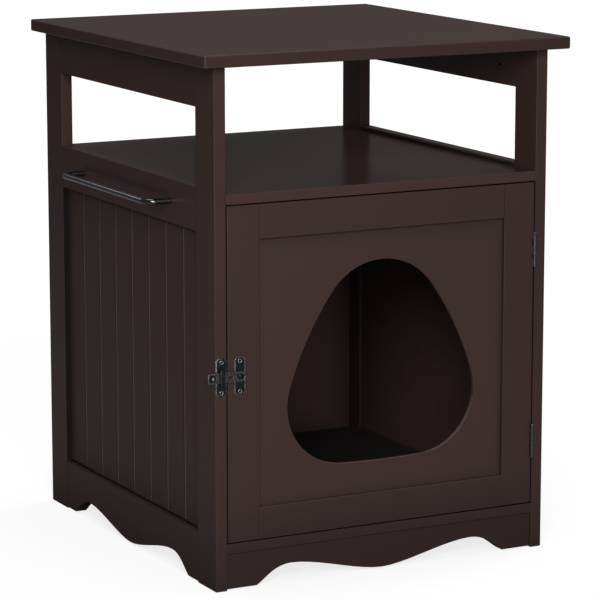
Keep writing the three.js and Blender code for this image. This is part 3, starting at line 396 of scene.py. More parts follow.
def lit_top_and_edges(face):
    """Painted highlight on the rails' upward faces (not the aprons'), and a little on eased edges."""
    return 1.0 if face.normal.z > 0.9 and face.center.z > LIT_TOP_ABOVE else 0.35 * slanted(face)


def underside(face):
    """Painted shade, with some dust, on faces that look down at the floor."""
    return 0.72 if face.normal.z < -0.2 else 0.0


for side, middle_paint in (("left", towel_rail_paint), ("right", rail_paint)):
    for rail, paint in (("top_rail", rail_paint), ("middle_rail", middle_paint), ("apron", apron_paint)):
        paint_board(f"{side}_{rail}", paint, eased=lit_top_and_edges, recess=underside)
front_apron_boxes = [
    joint_or_shade((POST_INNER_X - 0.9, POST_INNER_X + 1), **SEAM),
    joint_or_shade(y=(1.5, 2.5), z=(43.9, 46), soft=0.8, depth=0.6),  # painted shadow under the floor board's edge
    # the apron's front face painted darker
    joint_or_shade(y=(0, 4), soft=(1, 6, 1), depth=0.42)]
paint_board("front_apron", painted("espresso front apron paint", "X", front_apron_boxes), recess=underside)

# ------------------------------------------------------------
# Side panels: thin fibreboard with routed V beads that make it look like tongued planks, and a quirk
# at the foot. They slide into grooves of posts, middle rail and apron before assembly.
# ------------------------------------------------------------
PANEL_THICKNESS = 4.6
PANEL_Y = (44.5, 451.5)  # into the posts' grooves
PANEL_Z = (56.7, 432.2)  # into the apron's and the middle rail's
PLANKS = 8
PLANK_PITCH = (REAR_POST_Y - POST_DEPTH) / PLANKS
BEAD_MOUTH, BEAD_DEEP = 2.8, 1.5
BEAD_FLAT = 0.3  # the router's blunt tip
PALE_STRIP = 2.4  # a painted highlight along each bead's shoulder
# painted highlight colour for the beads' shoulders and the cat opening's rim
PAINTED_HIGHLIGHT_PALE = (0.145, 0.094, 0.085)
QUIRK_TOP_Z, QUIRK_DEEP = 66.4, 2.4
# painted highlight on the pale strips, and painted light on the inside face
HIGHLIGHTED_BEAD_PARTS = {"pale": 1.0, "inside": 0.2}
# painted shade in the beads' grooves and on their walls
SHADED_BEAD_PARTS = {"recess": 0.65, "wall": 0.35}


def beaded_section(outer, inner):
    """The panel's level section, from its front end to its rear one: (x, y, part) of each corner,
    where the part names the face that runs on to the next corner."""
    section = [(outer, PANEL_Y[0], "plain")]
    deep = outer + (BEAD_DEEP if inner > outer else -BEAD_DEEP)
    for plank in range(1, PLANKS):
        bead_y = POST_DEPTH + plank * PLANK_PITCH
        section += [
            (outer, bead_y - BEAD_MOUTH / 2 - PALE_STRIP, "pale"), (outer, bead_y - BEAD_MOUTH / 2, "wall"),
            (deep, bead_y - BEAD_FLAT / 2, "recess"), (deep, bead_y + BEAD_FLAT / 2, "recess"),
            (outer, bead_y + BEAD_MOUTH / 2, "plain")]
    return section + [(outer, PANEL_Y[1], "end"), (inner, PANEL_Y[1], "inside"), (inner, PANEL_Y[0], "end")]


def beaded_panel(name, sign):
    """The section drawn up to the full height, cut back at the foot by the quirk."""
    outer, inner, step = (sign * (SIDE_PANEL_X - depth) for depth in (0, PANEL_THICKNESS, QUIRK_DEEP))
    section = beaded_section(outer, inner)
    cut_back = [(step if abs(x) > abs(step) else x, y, part) for x, y, part in section]
    bm = bmesh.new()
    rings = []
    for corners, level in (
            (cut_back, PANEL_Z[0]), (cut_back, QUIRK_TOP_Z), (section, QUIRK_TOP_Z), (section, PANEL_Z[1])):
        rings.append([bm.verts.new(place(x, y, level)) for x, y, _ in corners])
    parts = []
    for low, high in zip(rings, rings[1:]):
        ledge = low is rings[1]
        for k, (x, _, part) in enumerate(section):
            after = (k + 1) % len(section)
            if ledge and max((low[n].co - high[n].co).length for n in (k, after)) < 1e-7:
                continue
            bm.faces.new((low[k], low[after], high[after], high[k]))
            # painted shade on the quirk's ledge and cut-back faces
            in_quirk = low is rings[0] and abs(x) > abs(inner) and part in ("plain", "pale")
            parts.append("recess" if ledge or in_quirk else part)
    for ring in (rings[0], rings[3]):
        bm.faces.new(ring)
        parts.append("plain")
    for layer, shown in (("eased_edge", HIGHLIGHTED_BEAD_PARTS), ("recess", SHADED_BEAD_PARTS)):
        mask = bm.faces.layers.float.new(layer)
        for face, part in zip(bm.faces, parts):
            face[mask] = shown.get(part, 0.0)
    bmesh.ops.remove_doubles(bm, verts=bm.verts, dist=1e-6)
    bmesh.ops.recalc_face_normals(bm, faces=bm.faces)
    mesh = bpy.data.meshes.new(name)
    bm.to_mesh(mesh)
    bm.free()
    return add_object(name, mesh)


PANEL_FACE_X = (SIDE_PANEL_X - 0.4, SIDE_PANEL_X + 1)
# painted shade on the panels: at their rear and front ends, under the middle rail and towards the floor
panel_boxes = [
    joint_or_shade(PANEL_FACE_X, (443, 460), soft=14, depth=0.4),
    joint_or_shade(PANEL_FACE_X, (40, POST_DEPTH), soft=7, depth=0.2),
    joint_or_shade(PANEL_FACE_X, z=(425, 440), soft=6, depth=0.4),
    joint_or_shade(PANEL_FACE_X, z=(0, 60), soft=(1, 1, 90), depth=0.25),
    joint_or_shade((SIDE_PANEL_X - 6, SIDE_PANEL_X - 2.5), (440, 500), soft=(1, 170, 170), depth=0.45)]  # painted shade on the inside face
panel_paint = painted("espresso bead panel paint", "Z", panel_boxes, edge_show=1.2, edge=PAINTED_HIGHLIGHT_PALE)
for side, sign in (("left", -1), ("right", 1)):
    panel = beaded_panel(f"painted_{side}_side_panel", sign)
    finish_mesh(
        panel, panel_paint, "cabinet", "painted_wood", f"{side}_side_panel", math.radians(20), eased=None)

# ------------------------------------------------------------
# Shelf and floor board: 12 mm boards between the sides, on cam locks under each corner. The shelf's
# paint is lighter, as painted light, with painted highlight on its edges; the floor board carries painted
# shade.
# ------------------------------------------------------------
# a lighter copy of the paint, as painted light on the shelf
SHELF_LIT_PAINT = (0.0640, 0.0380, 0.0340)
shelf_paint = painted(
    "espresso shelf paint", "X", roughness=0.22, peel=0.4, edge_show=1.0, paint=SHELF_LIT_PAINT, specular=0.03)
# painted shade on the floor board inside the litter room
floor_face = joint_or_shade(y=(40, 480), z=(56, 58), soft=(20, 34, 0.6), depth=0.85)
# the floor board's front edge painted darker
floor_edge = joint_or_shade(y=(-3, 3), soft=(1, 6, 1), depth=0.3)
floor_paint = painted(
    "espresso floor board paint", "X", [floor_face, floor_edge, near_floor], roughness=0.40, peel=0.6)
paint_board("shelf", shelf_paint)
paint_board("floor_board", floor_paint)

# ------------------------------------------------------------
# Back panel: a 3 mm hardboard sheet, painted and held in grooves all round, its paint a lighter copy as
# painted light. Its inner face has painted shade in the corners beside the posts and above the floor board.
# ------------------------------------------------------------
# a lighter copy of the paint, as painted light inside the litter room
BACK_LIT_PAINT = (0.075, 0.043, 0.038)
BACK_Y = (470, 480)
back_boxes = [
    joint_or_shade((POST_INNER_X - 6, POST_OUTER_X), BACK_Y, soft=(70, 1, 1), depth=0.6),
    joint_or_shade(y=BACK_Y, z=(-10, 60), soft=(1, 1, 45), depth=0.5)]
back_paint = painted(
    "espresso back panel paint", "X", back_boxes, roughness=0.55, drift=0.18, paint=BACK_LIT_PAINT)
paint_board("back_panel", back_paint)

# ------------------------------------------------------------
# Door frame: stiles run the full height and the rails butt between them, so fine seams show where
# they meet. The right stile is mortised for the hinge leaves.
# ------------------------------------------------------------
DOOR_EDGE_X = 209.5
STILE_INNER_X = 167.5
DOOR_PANEL_Z = (97.5, 420.5)
HINGES_Z, MORTISE_HALF_H = (378.5, 137.2), 21.6
# painted shade on the door's edge inside the gap
door_edge_face = joint_or_shade(around(DOOR_EDGE_X, 0.2), (0.8, 14.4), soft=0.5, depth=0.97)
# painted shade on the stiles' step down to the panel
frame_step_face = joint_or_shade(around(STILE_INNER_X, 0.2), (0.8, 5.2), DOOR_PANEL_Z, 0.3, 0.45)
door_seams = [joint_or_shade(around(STILE_INNER_X, 0.4), (-1, 1), z, 0.6, 0.5)
              for z in ((0, DOOR_PANEL_Z[0]), (DOOR_PANEL_Z[1], 640))]
# painted shade in the hinge mortises
mortise_shadows = [joint_or_shade((DOOR_EDGE_X - 2.0, DOOR_EDGE_X + 0.2), z=around(z, MORTISE_HALF_H), soft=0.3, depth=0.92)
            for z in HINGES_Z]
door_foot = joint_or_shade(z=(50, 60), soft=(1, 1, 70), depth=0.32)  # painted shade, darker towards the floor
stile_boxes = [door_edge_face, frame_step_face, door_foot] + door_seams
for board, paint in (
        ("left_stile", painted("espresso door stile paint", "Z", stile_boxes, roughness=0.44)),
        ("right_stile", painted("espresso hinge stile paint", "Z", stile_boxes + mortise_shadows, roughness=0.44)),
        ("top_rail", painted("espresso door rail paint", "X", door_seams, roughness=0.44)),
        # painted highlight on the foot rail's eased edges
        ("bottom_rail", painted(
            "espresso door foot rail paint", "X", door_seams + [door_foot], roughness=0.44, edge_show=1.3))):
    paint_board("door_" + board, paint, "door")

# ------------------------------------------------------------
# Door panel: a flat 5 mm board set back in the frame's groove, with the cat's opening cut through
# it and the cut edge eased so that it doesn't scratch.
# ------------------------------------------------------------
DOOR_PANEL_LIT_PAINT = (0.0550, 0.0312, 0.0268)  # a shade lighter than the frame's paint, as painted light on the panel
DOOR_PANEL_FACE_Y = (0, 5.4)
# painted shadow under the top rail, and painted shade above the bottom rail and beside the stiles
door_panel_boxes = [
    joint_or_shade(y=DOOR_PANEL_FACE_Y, z=(DOOR_PANEL_Z[1] - 1, DOOR_PANEL_Z[1] + 9), soft=30, depth=0.34),
    joint_or_shade(y=DOOR_PANEL_FACE_Y, z=(0, DOOR_PANEL_Z[0]), soft=26, depth=0.14),
    joint_or_shade((STILE_INNER_X - 1, STILE_INNER_X + 9), DOOR_PANEL_FACE_Y, soft=9, depth=0.24)]
door_panel_paint = painted(
    "espresso door panel paint", "Z", door_panel_boxes, edge_show=1.1, edge=PAINTED_HIGHLIGHT_PALE, paint=DOOR_PANEL_LIT_PAINT)


def lit_rim(face):
    """Painted highlight on the faces of the opening's edge that look up."""
    return min(1.0, max(0.0, 1.5 * face.normal.z)) * slanted(face)


# painted shade on the faces of the opening's edge that look down or sideways
def shaded_rim(face):
    return 0.55 * slanted(face) if face.normal.z < 0.1 and abs(face.normal.y) < 0.9 else 0.0


paint_board("door_panel", door_panel_paint, "door", eased=lit_rim, recess=shaded_rim)

# ------------------------------------------------------------
# Hinges: two small butt hinges of pressed steel, blacked and oiled, let into the door's edge. One
# leaf holds three knuckles, the other two, and a pin with domed ends runs through them.
# ------------------------------------------------------------
BLACKED_STEEL = (0.030, 0.031, 0.035)
HINGE_STEEL = (0.11, 0.11, 0.12)
# the pale colours show on rubbed edges and bevels: partly bare steel, partly painted glint
SCREW_STEEL, BRIGHT_STEEL_GLINT = (0.34, 0.34, 0.36), (0.8, 0.8, 0.8)
BARE_STEEL_OR_GLINT = (0.60, 0.60, 0.62)
RUB_AND_GLINT_SCALE, MOTTLE_SCALE, TARNISH_SCALE, GRAIN_SCALE = 420, 520, 160, 900
GRAIN_HEIGHT = 0.0002
LEAF_BREAK = 0.22  # mm; flats broken along the pressed leaves' edges
LEAST_TURN = math.radians(35)
CROSS_REACH, CROSS_HALF_W = 0.66, 0.27  # of a screw head's radius
SCREW_POINT = 3.0


def make_metal_wear_and_glint():
    """Blacked or plated steel: bare where edges rub, with painted glint there too, painted shade in sunk
    places, uneven gloss, fine grain.
    """
    group, given, made = new_group(
        "metal wear and painted glint",
        [("Coat", "color", (*BLACKED_STEEL, 1)), ("Bare Or Glint", "color", (*BARE_STEEL_OR_GLINT, 1)), ("Rub And Glint", "float", 0.5),
         ("Coat Roughness", "float", 0.3), ("Roughness Spread", "float", 0.2)],
        [("Color", "color"), ("Roughness", "float"), ("Height", "float")])
    where = on_object(group)
    bright = reckon(group, "SUBTRACT", noise(group, where, RUB_AND_GLINT_SCALE, 3), 0.30)
    patches = reckon(group, "MINIMUM", reckon(group, "MULTIPLY", bright, 3.2), 1.0)
    patches = reckon(group, "MAXIMUM", patches, 0.05)
    rubbed_or_glinting = reckon(group, "MULTIPLY", face_mask(group, "eased_edge"), patches)
    color = blend_colors(group, reckon(group, "MULTIPLY", rubbed_or_glinting, given["Rub And Glint"]), given["Coat"], given["Bare Or Glint"])
    mottle = reckon(group, "ADD", 0.5, noise(group, where, MOTTLE_SCALE, 2))
    kept = reckon(group, "MULTIPLY", mottle, reckon(group, "SUBTRACT", 1.0, face_mask(group, "recess")))
    group.links.new(reckon_vector(group, "MULTIPLY", color, kept), made["Color"])
    tarnish = uneven(group, noise(group, where, TARNISH_SCALE, 3), given["Roughness Spread"])
    group.links.new(reckon(group, "ADD", given["Coat Roughness"], tarnish), made["Roughness"])
    group.links.new(noise(group, where, GRAIN_SCALE, 2), made["Height"])
    return group


METAL_WEAR_AND_GLINT = make_metal_wear_and_glint()


def worn_glinting_metal(name, coat, bare_or_glint, roughness, metallic, rub_and_glint=0.8, spread=0.15, grain=0.1):
    """Steel with its own values for the wear and painted-glint group."""
    material, tree, shader = new_material(name)
    shader["Metallic"].default_value = metallic
    wear = add_node(tree, METAL_WEAR_AND_GLINT, {
        "Coat": (*coat, 1), "Bare Or Glint": (*bare_or_glint, 1), "Rub And Glint": rub_and_glint, "Coat Roughness": roughness,
        "Roughness Spread": spread})
    cover(tree, shader, wear.outputs["Color"], wear.outputs, grain, GRAIN_HEIGHT)
    return material


def break_edges(piece, width):
    """Cuts a small flat along every firm edge and marks it for wear and painted glint; width in mm."""
    bm = bmesh.new()
    bm.from_mesh(piece.data)
    rubbed_or_glinting = bm.faces.layers.float.new("eased_edge")
    bmesh.ops.dissolve_limit(bm, angle_limit=math.radians(1), verts=bm.verts, edges=bm.edges)
    firm = [e for e in bm.edges if len(e.link_faces) == 2 and e.calc_face_angle() > LEAST_TURN]
    flats = bmesh.ops.bevel(
        bm, geom=firm, offset=width / 1000, segments=1, profile=0.5, affect="EDGES", clamp_overlap=True)
    for face in flats["faces"]:
        face[rubbed_or_glinting] = 1.0
    bm.to_mesh(piece.data)
    bm.free()


def circle(x, z, radius, sides):
    turns = [2 * math.pi * s / sides for s in range(sides)]
    return [(x + radius * math.cos(turn), z + radius * math.sin(turn)) for turn in turns]


def add_turned(bm, profile, sides, axis=(0, 0)):
    """Adds a turned shape along +Y, in mm, from (radius, height) pairs that start and end on the axis."""
    first, last = (bm.verts.new((axis[0], height, axis[1])) for _, height in (profile[0], profile[-1]))
    rings = [[bm.verts.new((x, height, z)) for x, z in circle(*axis, radius, sides)]
             for radius, height in profile[1:-1]]
    for low, high in zip(rings, rings[1:]):
        for s in range(sides):
            bm.faces.new((low[s], high[s], high[(s + 1) % sides], low[(s + 1) % sides]))
    for s in range(sides):
        bm.faces.new((first, rings[0][s], rings[0][(s + 1) % sides]))
        bm.faces.new((last, rings[-1][(s + 1) % sides], rings[-1][s]))


def along_axis(node, direction):
    """How to carry a shape made in mm along +Y to a node's start, and the node's length that way."""
    low, high = (Vector(corner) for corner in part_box(node))
    direction = Vector(direction)
    reach = abs(((high - low) / 2).dot(direction))
    turn = Vector((0, 1, 0)).rotation_difference(direction).to_matrix().to_4x4()
    start = (low + high) / 2 - direction * reach
    return Matrix.Translation(start) @ turn @ Matrix.Scale(0.001, 4), 2000 * reach


def piece_from_bmesh(bm, name, matrix):
    bmesh.ops.recalc_face_normals(bm, faces=bm.faces)
    mesh = bpy.data.meshes.new(name)
    bm.to_mesh(mesh)
    bm.free()
    mesh.transform(matrix)
    return add_object(name, mesh)


def add_sheet(bm, outlines, back, thickness, bevel, steps=1, slope=1.0):
    """Adds a flat sheet that faces -Y, in mm: its outlines are lists of (x, z), the outer one first and
    then its holes, its back lies at y = back, and its edges are bevelled, as steeply as slope says."""
    curve = bpy.data.curves.new("sheet", "CURVE")
    curve.dimensions = "2D"
    curve.fill_mode = "BOTH"
    curve.extrude = thickness / 2 / slope - bevel
    curve.bevel_depth = bevel
    curve.bevel_resolution = steps - 1
    curve.offset = -bevel
    for outline in outlines:
        spline = curve.splines.new("POLY")
        spline.points.add(len(outline) - 1)
        for point, (x, z) in zip(spline.points, outline):
            point.co = (x, z, 0, 1)
        spline.use_cyclic_u = True
    pattern = add_object("sheet", curve)
    mesh = bpy.data.meshes.new_from_object(pattern.evaluated_get(bpy.context.evaluated_depsgraph_get()))
    bpy.data.objects.remove(pattern)
    upright = Matrix.Diagonal((1, slope, 1, 1)) @ Matrix.Rotation(math.pi / 2, 4, "X")
    mesh.transform(Matrix.Translation((0, back - thickness / 2, 0)) @ upright)
    bm.from_mesh(mesh)
    bpy.data.meshes.remove(mesh)
    bmesh.ops.remove_doubles(bm, verts=bm.verts, dist=1e-4)


def cross(half_length, half_width):
    """The outline of a cross-head recess."""
    a, b = half_length, half_width
    return [(a, -b), (a, b), (b, b), (b, a), (-b, a), (-b, b),
            (-a, b), (-a, -b), (-b, -b), (-b, -a), (b, -a), (b, -b)]


def leans(cosine):
    """Whether a face leans from a direction, as a bevel does."""
    return 0.2 < abs(cosine) < 0.98


# painted glint, with some wear, on a head's leaning faces
def rubbed_glinting_bevels(direction):
    return lambda face: 1.0 if leans(face.normal.dot(direction)) else 0.0


def driven_screw(node, direction, head_r, head_h, shank_r, body, slot="black_iron", flat=False):
    """A cross-head screw in the node's place. The head is a bevelled disc with the recess cut through
    it, and the shank closes the recess and runs to a point; a flat head tapers into its hole."""
    matrix, length = along_axis(node, direction)
    bm = bmesh.new()
    bevel = 0.12 if flat else 0.42 * head_h
    recess = cross(CROSS_REACH * head_r, CROSS_HALF_W * head_r)
    add_sheet(bm, [circle(0, 0, head_r, 28), recess], head_h, head_h, bevel, 3)
    throat = head_h + (head_r - shank_r if flat else 0.02)
    neck_r = head_r - 0.02 if flat else shank_r
    add_turned(bm, [(0, head_h), (neck_r, head_h + 0.01), (shank_r, throat), (shank_r, length - SCREW_POINT),
                    (0, length)], 20)
    inward, middle = Vector(direction), matrix.translation

    # painted shade in the cross recess
    def sunk(face):
        depth = (face.center - middle).dot(inward)
        from_axis = (face.center - middle) - inward * depth
        in_cross = from_axis.length * 1000 < 0.73 * head_r and 0.15 * head_h < depth * 1000 < head_h + 0.3
        return 0.93 if in_cross else 0.0

    piece = piece_from_bmesh(bm, f"driven_{node}", matrix)
    finish_mesh(piece, screw_metal, body, slot, node, math.radians(42), rubbed_glinting_bevels(inward), sunk)


hinge_metal = worn_glinting_metal(
    "blacked hinge steel", HINGE_STEEL, BARE_STEEL_OR_GLINT, 0.34, 0.9, rub_and_glint=1.0, spread=0.3, grain=0.5)
screw_metal = worn_glinting_metal("blacked screw steel", SCREW_STEEL, BRIGHT_STEEL_GLINT, 0.24, 0.95, rub_and_glint=0.6)
for hinge in ("upper_hinge", "lower_hinge"):
    for body, inward in (("cabinet", (1, 0, 0)), ("door", (-1, 0, 0))):
        node = f"{hinge}_{body}_leaf"
        pressed = piece_from_solid(node, "pressed_" + node)
        break_edges(pressed, LEAF_BREAK)
        finish_mesh(pressed, hinge_metal, body, "black_iron", node, sharp=math.radians(30), eased=None)
        for k in (1, 2):
            driven_screw(f"{hinge}_{body}_screw_{k}", inward, 2.4, 0.5, 1.3, body, flat=True)
    node = f"{hinge}_pin"
    matrix, length = along_axis(node, (0, 0, 1))
    domed_end = [(0, 0), (0.9, 0.07), (1.5, 0.28), (1.8, 0.55), (1.8, 0.6), (0.95, 0.6)]
    pin = bmesh.new()
    add_turned(pin, domed_end + [(r, length - h) for r, h in reversed(domed_end)], 24)
    pin_body = "cabinet" if node in frame["record"]["behaviour"]["bodies"]["cabinet"] else "door"
    # the domes' leaning faces take painted glint
    finish_mesh(piece_from_bmesh(pin, "turned_" + node, matrix), screw_metal, pin_body, "black_iron", node)

# ------------------------------------------------------------
# Latch keeper and door plate: stamped plates with clipped corners and broad bevels, each held by two
# pan-head screws. The keeper carries a bent hook, and the door's plate a boss under the bar.
# ------------------------------------------------------------
LATCH_Z = 260.0
KEEPER_X, PIVOT_X = -218.5, -194.2
PLATE_HALF_W, PLATE_HALF_H, PLATE_CLIP = 7.0, 23.0, 3.2
PLATE_BACK_Y, PLATE_THICKNESS = -0.2, 1.2
PLATE_BEVEL, PLATE_SLOPE = 1.1, 0.5
PLATE_HOLE_R, PLATE_HOLE_REACH = 1.45, 18.2
HOOK_HALF_W, HOOK_THICKNESS = 3.2, 1.6
HOOK_Y, HOOK_Z = (-6.8, -0.8), (252.1, 270.2)
BOSS_R, BOSS_Y = 4.2, (-2.2, -0.8)
FIRM_BEND = math.radians(28)  # between faces of the stamped latch
TO_FRAME = Matrix.Translation(place(0, 0, 0)) @ Matrix.Scale(0.001, 4)


def add_block(bm, x, y, z, bevel):
    """A bar of metal with broken edges, in mm."""
    made = bmesh.ops.create_cube(bm, size=1.0)["verts"]
    for vert in made:
        vert.co = [sum(span) / 2 + c * (span[1] - span[0]) for c, span in zip(vert.co, (x, y, z))]
    edges = list({edge for vert in made for edge in vert.link_edges})
    bmesh.ops.bevel(bm, geom=edges, offset=bevel, segments=2, profile=0.5, affect="EDGES", clamp_overlap=True)


def plate_outline(middle_x):
    w, h, c = PLATE_HALF_W, PLATE_HALF_H, PLATE_CLIP
    return [(middle_x + u, LATCH_Z + v) for u, v in (
        (w - c, -h), (w, c - h), (w, h - c), (w - c, h), (c - w, h), (-w, h - c), (-w, c - h), (c - w, -h))]


def rubbed_glinting_edges(outward):
    """Painted highlight on the bevels, strongest on one side of each plate, and a little elsewhere."""
    def rule(face):
        if not leans(face.normal.y):
            return 0.0
        return (1.0 if outward > 0 else 0.6) if face.normal.x * outward > 0.2 else 0.4
    return rule


def shaded_side(face):
    """Painted shade on the hook's side that faces away from the lamps."""
    return 0.9 if face.normal.x < -0.7 and abs(face.center.x - place(KEEPER_X, 0, 0).x) < 0.0045 else 0.0


latch_metal = worn_glinting_metal("blacked latch steel", BLACKED_STEEL, BARE_STEEL_OR_GLINT, 0.33, 0.8, spread=0.4, grain=0.8)
for node, screws, middle_x, body, outward in (
        ("latch_keeper", "latch_keeper", KEEPER_X, "cabinet", -1),
        ("latch_door_plate", "latch_door", PIVOT_X, "door", 1)):
    bm = bmesh.new()
    holes = [circle(middle_x, z, PLATE_HOLE_R, 16) for z in around(LATCH_Z, PLATE_HOLE_REACH)]
    plate = [plate_outline(middle_x)] + holes
    add_sheet(bm, plate, PLATE_BACK_Y, PLATE_THICKNESS, PLATE_BEVEL, slope=PLATE_SLOPE)
    if body == "cabinet":
        hook_x = around(middle_x, HOOK_HALF_W)
        add_block(bm, hook_x, HOOK_Y, (HOOK_Z[0], HOOK_Z[0] + HOOK_THICKNESS), 0.35)
        add_block(bm, hook_x, (HOOK_Y[0], HOOK_Y[0] + HOOK_THICKNESS), HOOK_Z, 0.4)
    else:
        front, back = BOSS_Y
        boss = [(0, front), (BOSS_R - 0.2, front), (BOSS_R, front + 0.2), (BOSS_R, back), (0, back)]
        add_turned(bm, boss, 28, (middle_x, LATCH_Z))
    stamped = piece_from_bmesh(bm, "stamped_" + node, TO_FRAME)
    finish_mesh(stamped, latch_metal, body, "black_iron", node, FIRM_BEND, rubbed_glinting_edges(outward), shaded_side)
    for k in (1, 2):
        driven_screw(f"{screws}_screw_{k}", (0, 1, 0), 2.7, 0.7, 1.3, body)

# ------------------------------------------------------------
# Latch bar: a flat bar pressed with raised rims round its pivot's dish, its slot and its finger end,
# where a small knob is riveted on. It turns on a domed rivet through the door plate's boss.
# ------------------------------------------------------------
BAR_HALF_H = 6.0
BAR_X = (-236.7, -188.2)
BAR_Y = (-4.2, -2.4)  # front and back
BAR_FLOOR_Y = -3.3  # the pressed-in places go this deep
FINGER_CORNER_R = 3.0
SLOT_X, SLOT_HALF_L, SLOT_HALF_H = -207.8, 4.2, 2.0
DISH_HALF_L, DISH_HALF_H = 5.0, 3.6
PIVOT_HOLE_R = 2.15
KNOB_X, KNOB_R, KNOB_FRONT_Y = -230.7, 2.7, -7.4
CORNER_STEPS = 7


def rounded(x, half_l, half_h, left_r, right_r):
    """A rectangle on the bar's line with round corners, one radius for each of its ends."""
    outline = []
    for sx, sz, radius, start in (
            (1, -1, right_r, -90), (1, 1, right_r, 0), (-1, 1, left_r, 90), (-1, -1, left_r, 180)):
        middle_x, middle_z = x + sx * (half_l - radius), LATCH_Z + sz * (half_h - radius)
        for k in range(CORNER_STEPS + 1):
            turn = math.radians(start + 90 * k / CORNER_STEPS)
            outline.append((middle_x + radius * math.cos(turn), middle_z + radius * math.sin(turn)))
    return outline


def long_hole(x, half_l, half_h):
    return rounded(x, half_l, half_h, half_h - 0.1, half_h - 0.1)


bar_half_l = (BAR_X[1] - BAR_X[0]) / 2
bar_outline = rounded(sum(BAR_X) / 2, bar_half_l, BAR_HALF_H, FINGER_CORNER_R, BAR_HALF_H - 0.05)
slot_outline = long_hole(SLOT_X, SLOT_HALF_L, SLOT_HALF_H)
dish_outline = long_hole(PIVOT_X, DISH_HALF_L, DISH_HALF_H)
finger_dish = rounded(KNOB_X - 0.3, 4.4, 4.4, 2.0, 3.0)
pivot_hole = circle(PIVOT_X, LATCH_Z, PIVOT_HOLE_R, 20)
rims = [bar_outline, slot_outline, dish_outline, finger_dish]
bm = bmesh.new()
add_sheet(bm, rims, BAR_FLOOR_Y, BAR_FLOOR_Y - BAR_Y[0], 0.3, 2)
add_sheet(bm, [bar_outline, slot_outline, pivot_hole], BAR_Y[1], BAR_Y[1] - BAR_FLOOR_Y, 0.1)
knob_dome = [(r, KNOB_FRONT_Y + h) for r, h in ((0, 0), (1.0, 0.08), (1.9, 0.4), (2.5, 0.95), (KNOB_R, 1.5))]
knob_stem = [(KNOB_R - 0.1, BAR_Y[0] - 0.5), (2.2, BAR_Y[0]), (2.2, BAR_FLOOR_Y), (0, BAR_FLOOR_Y)]
add_turned(bm, knob_dome + knob_stem, 28, (KNOB_X, LATCH_Z))
pressed_bar = piece_from_bmesh(bm, "pressed_latch_bar", TO_FRAME)
bar_floor = place(0, BAR_FLOOR_Y, 0).y


def dish_floor(face):
    """Painted shade on the floors of the pressed-in places."""
    return 0.7 if abs(face.center.y - bar_floor) < 1e-5 and abs(face.normal.y) > 0.9 else 0.0


def bar_rub_and_glint(face):
    """Painted highlight on the rims and the knob, and a little on the bar's front."""
    from_knob = (face.center - place(KNOB_X, 0, LATCH_Z)).xz.length
    if from_knob < KNOB_R / 1000 and face.center.y < bar_floor - 0.001:
        return 0.45
    return 1.0 if leans(face.normal.y) else 0.2 if face.normal.y < -0.98 else 0.0


finish_mesh(pressed_bar, latch_metal, "latch_bar", "black_iron", "latch_bar", FIRM_BEND, bar_rub_and_glint, dish_floor)
matrix, length = along_axis("latch_pivot", (0, 1, 0))
rivet_head = [(0, 0), (1.0, 0.06), (1.9, 0.3), (2.6, 0.75), (2.9, 1.25), (2.9, 1.3)]
rivet = bmesh.new()
add_turned(rivet, rivet_head + [(1.9, 1.3), (1.9, length - 0.2), (1.7, length), (0, length)], 28)
rivet_body = next(b for b, nodes in frame["record"]["behaviour"]["bodies"].items() if "latch_pivot" in nodes)
domed_rivet = piece_from_bmesh(rivet, "domed_latch_pivot", matrix)
finish_mesh(domed_rivet, latch_metal, rivet_body, "black_iron", "latch_pivot", eased=None)

# ------------------------------------------------------------
# Towel bar: one round rod bent square at both ends, stove-enamelled glossy black, and held by two
# machine screws that run into its feet from inside the middle rail.
# ------------------------------------------------------------
ROD_R, ROD_END_BREAK = 4.0, 0.4
ROD_FOOT_X, ROD_FAR_X = -226.2, -256.0
ROD_FEET_Y = (120.0, 376.0)
ROD_Z = 453.45
ROD_BEND_R = 13.0
ROD_SIDES, BEND_STEPS = 36, 14
ENAMEL, ENAMEL_RUBBED = (0.006, 0.0065, 0.0085), (0.02, 0.02, 0.024)
UP = Vector((0, 0, 1))


def rod_path():
    path = []
    for foot_y, sign in ((ROD_FEET_Y[0], 1), (ROD_FEET_Y[1], -1)):
        half = [(ROD_FOOT_X, foot_y)]
        for k in range(BEND_STEPS + 1):
            turn = math.pi / 2 * k / BEND_STEPS
            half.append((ROD_FAR_X + ROD_BEND_R * (1 - math.sin(turn)),
                         foot_y + sign * ROD_BEND_R * (1 - math.cos(turn))))
        path += half if sign > 0 else half[::-1]
    return [Vector((x, y, ROD_Z)) for x, y in path]


bm = bmesh.new()
path = rod_path()
rings = []
for k, point in enumerate(path):
    heading = (path[min(k + 1, len(path) - 1)] - path[max(k - 1, 0)]).normalized()
    across = UP.cross(heading).normalized()
    spots = [(ROD_R, 0.0)]
    if k == 0:
        spots = [(ROD_R - ROD_END_BREAK, 0.0), (ROD_R, ROD_END_BREAK)]
    if k == len(path) - 1:
        spots = [(ROD_R, -ROD_END_BREAK), (ROD_R - ROD_END_BREAK, 0.0)]
    for radius, ahead in spots:
        rings.append([bm.verts.new(point + heading * ahead + across * u + UP * v)
                      for u, v in circle(0, 0, radius, ROD_SIDES)])
for low, high in zip(rings, rings[1:]):
    for s in range(ROD_SIDES):
        bm.faces.new((low[s], low[(s + 1) % ROD_SIDES], high[(s + 1) % ROD_SIDES], high[s]))
bm.faces.new(rings[0][::-1])
bm.faces.new(rings[-1])
rod_enamel = worn_glinting_metal(
    "gloss black enamel", ENAMEL, ENAMEL_RUBBED, 0.12, 0.0, rub_and_glint=0.2, spread=0.05, grain=0.03)
enamel_shader = rod_enamel.node_tree.nodes["Principled BSDF"].inputs
for socket, value in (("Specular IOR Level", 0.75), ("Coat Weight", 0.8), ("Coat Roughness", 0.05)):
    enamel_shader[socket].default_value = value
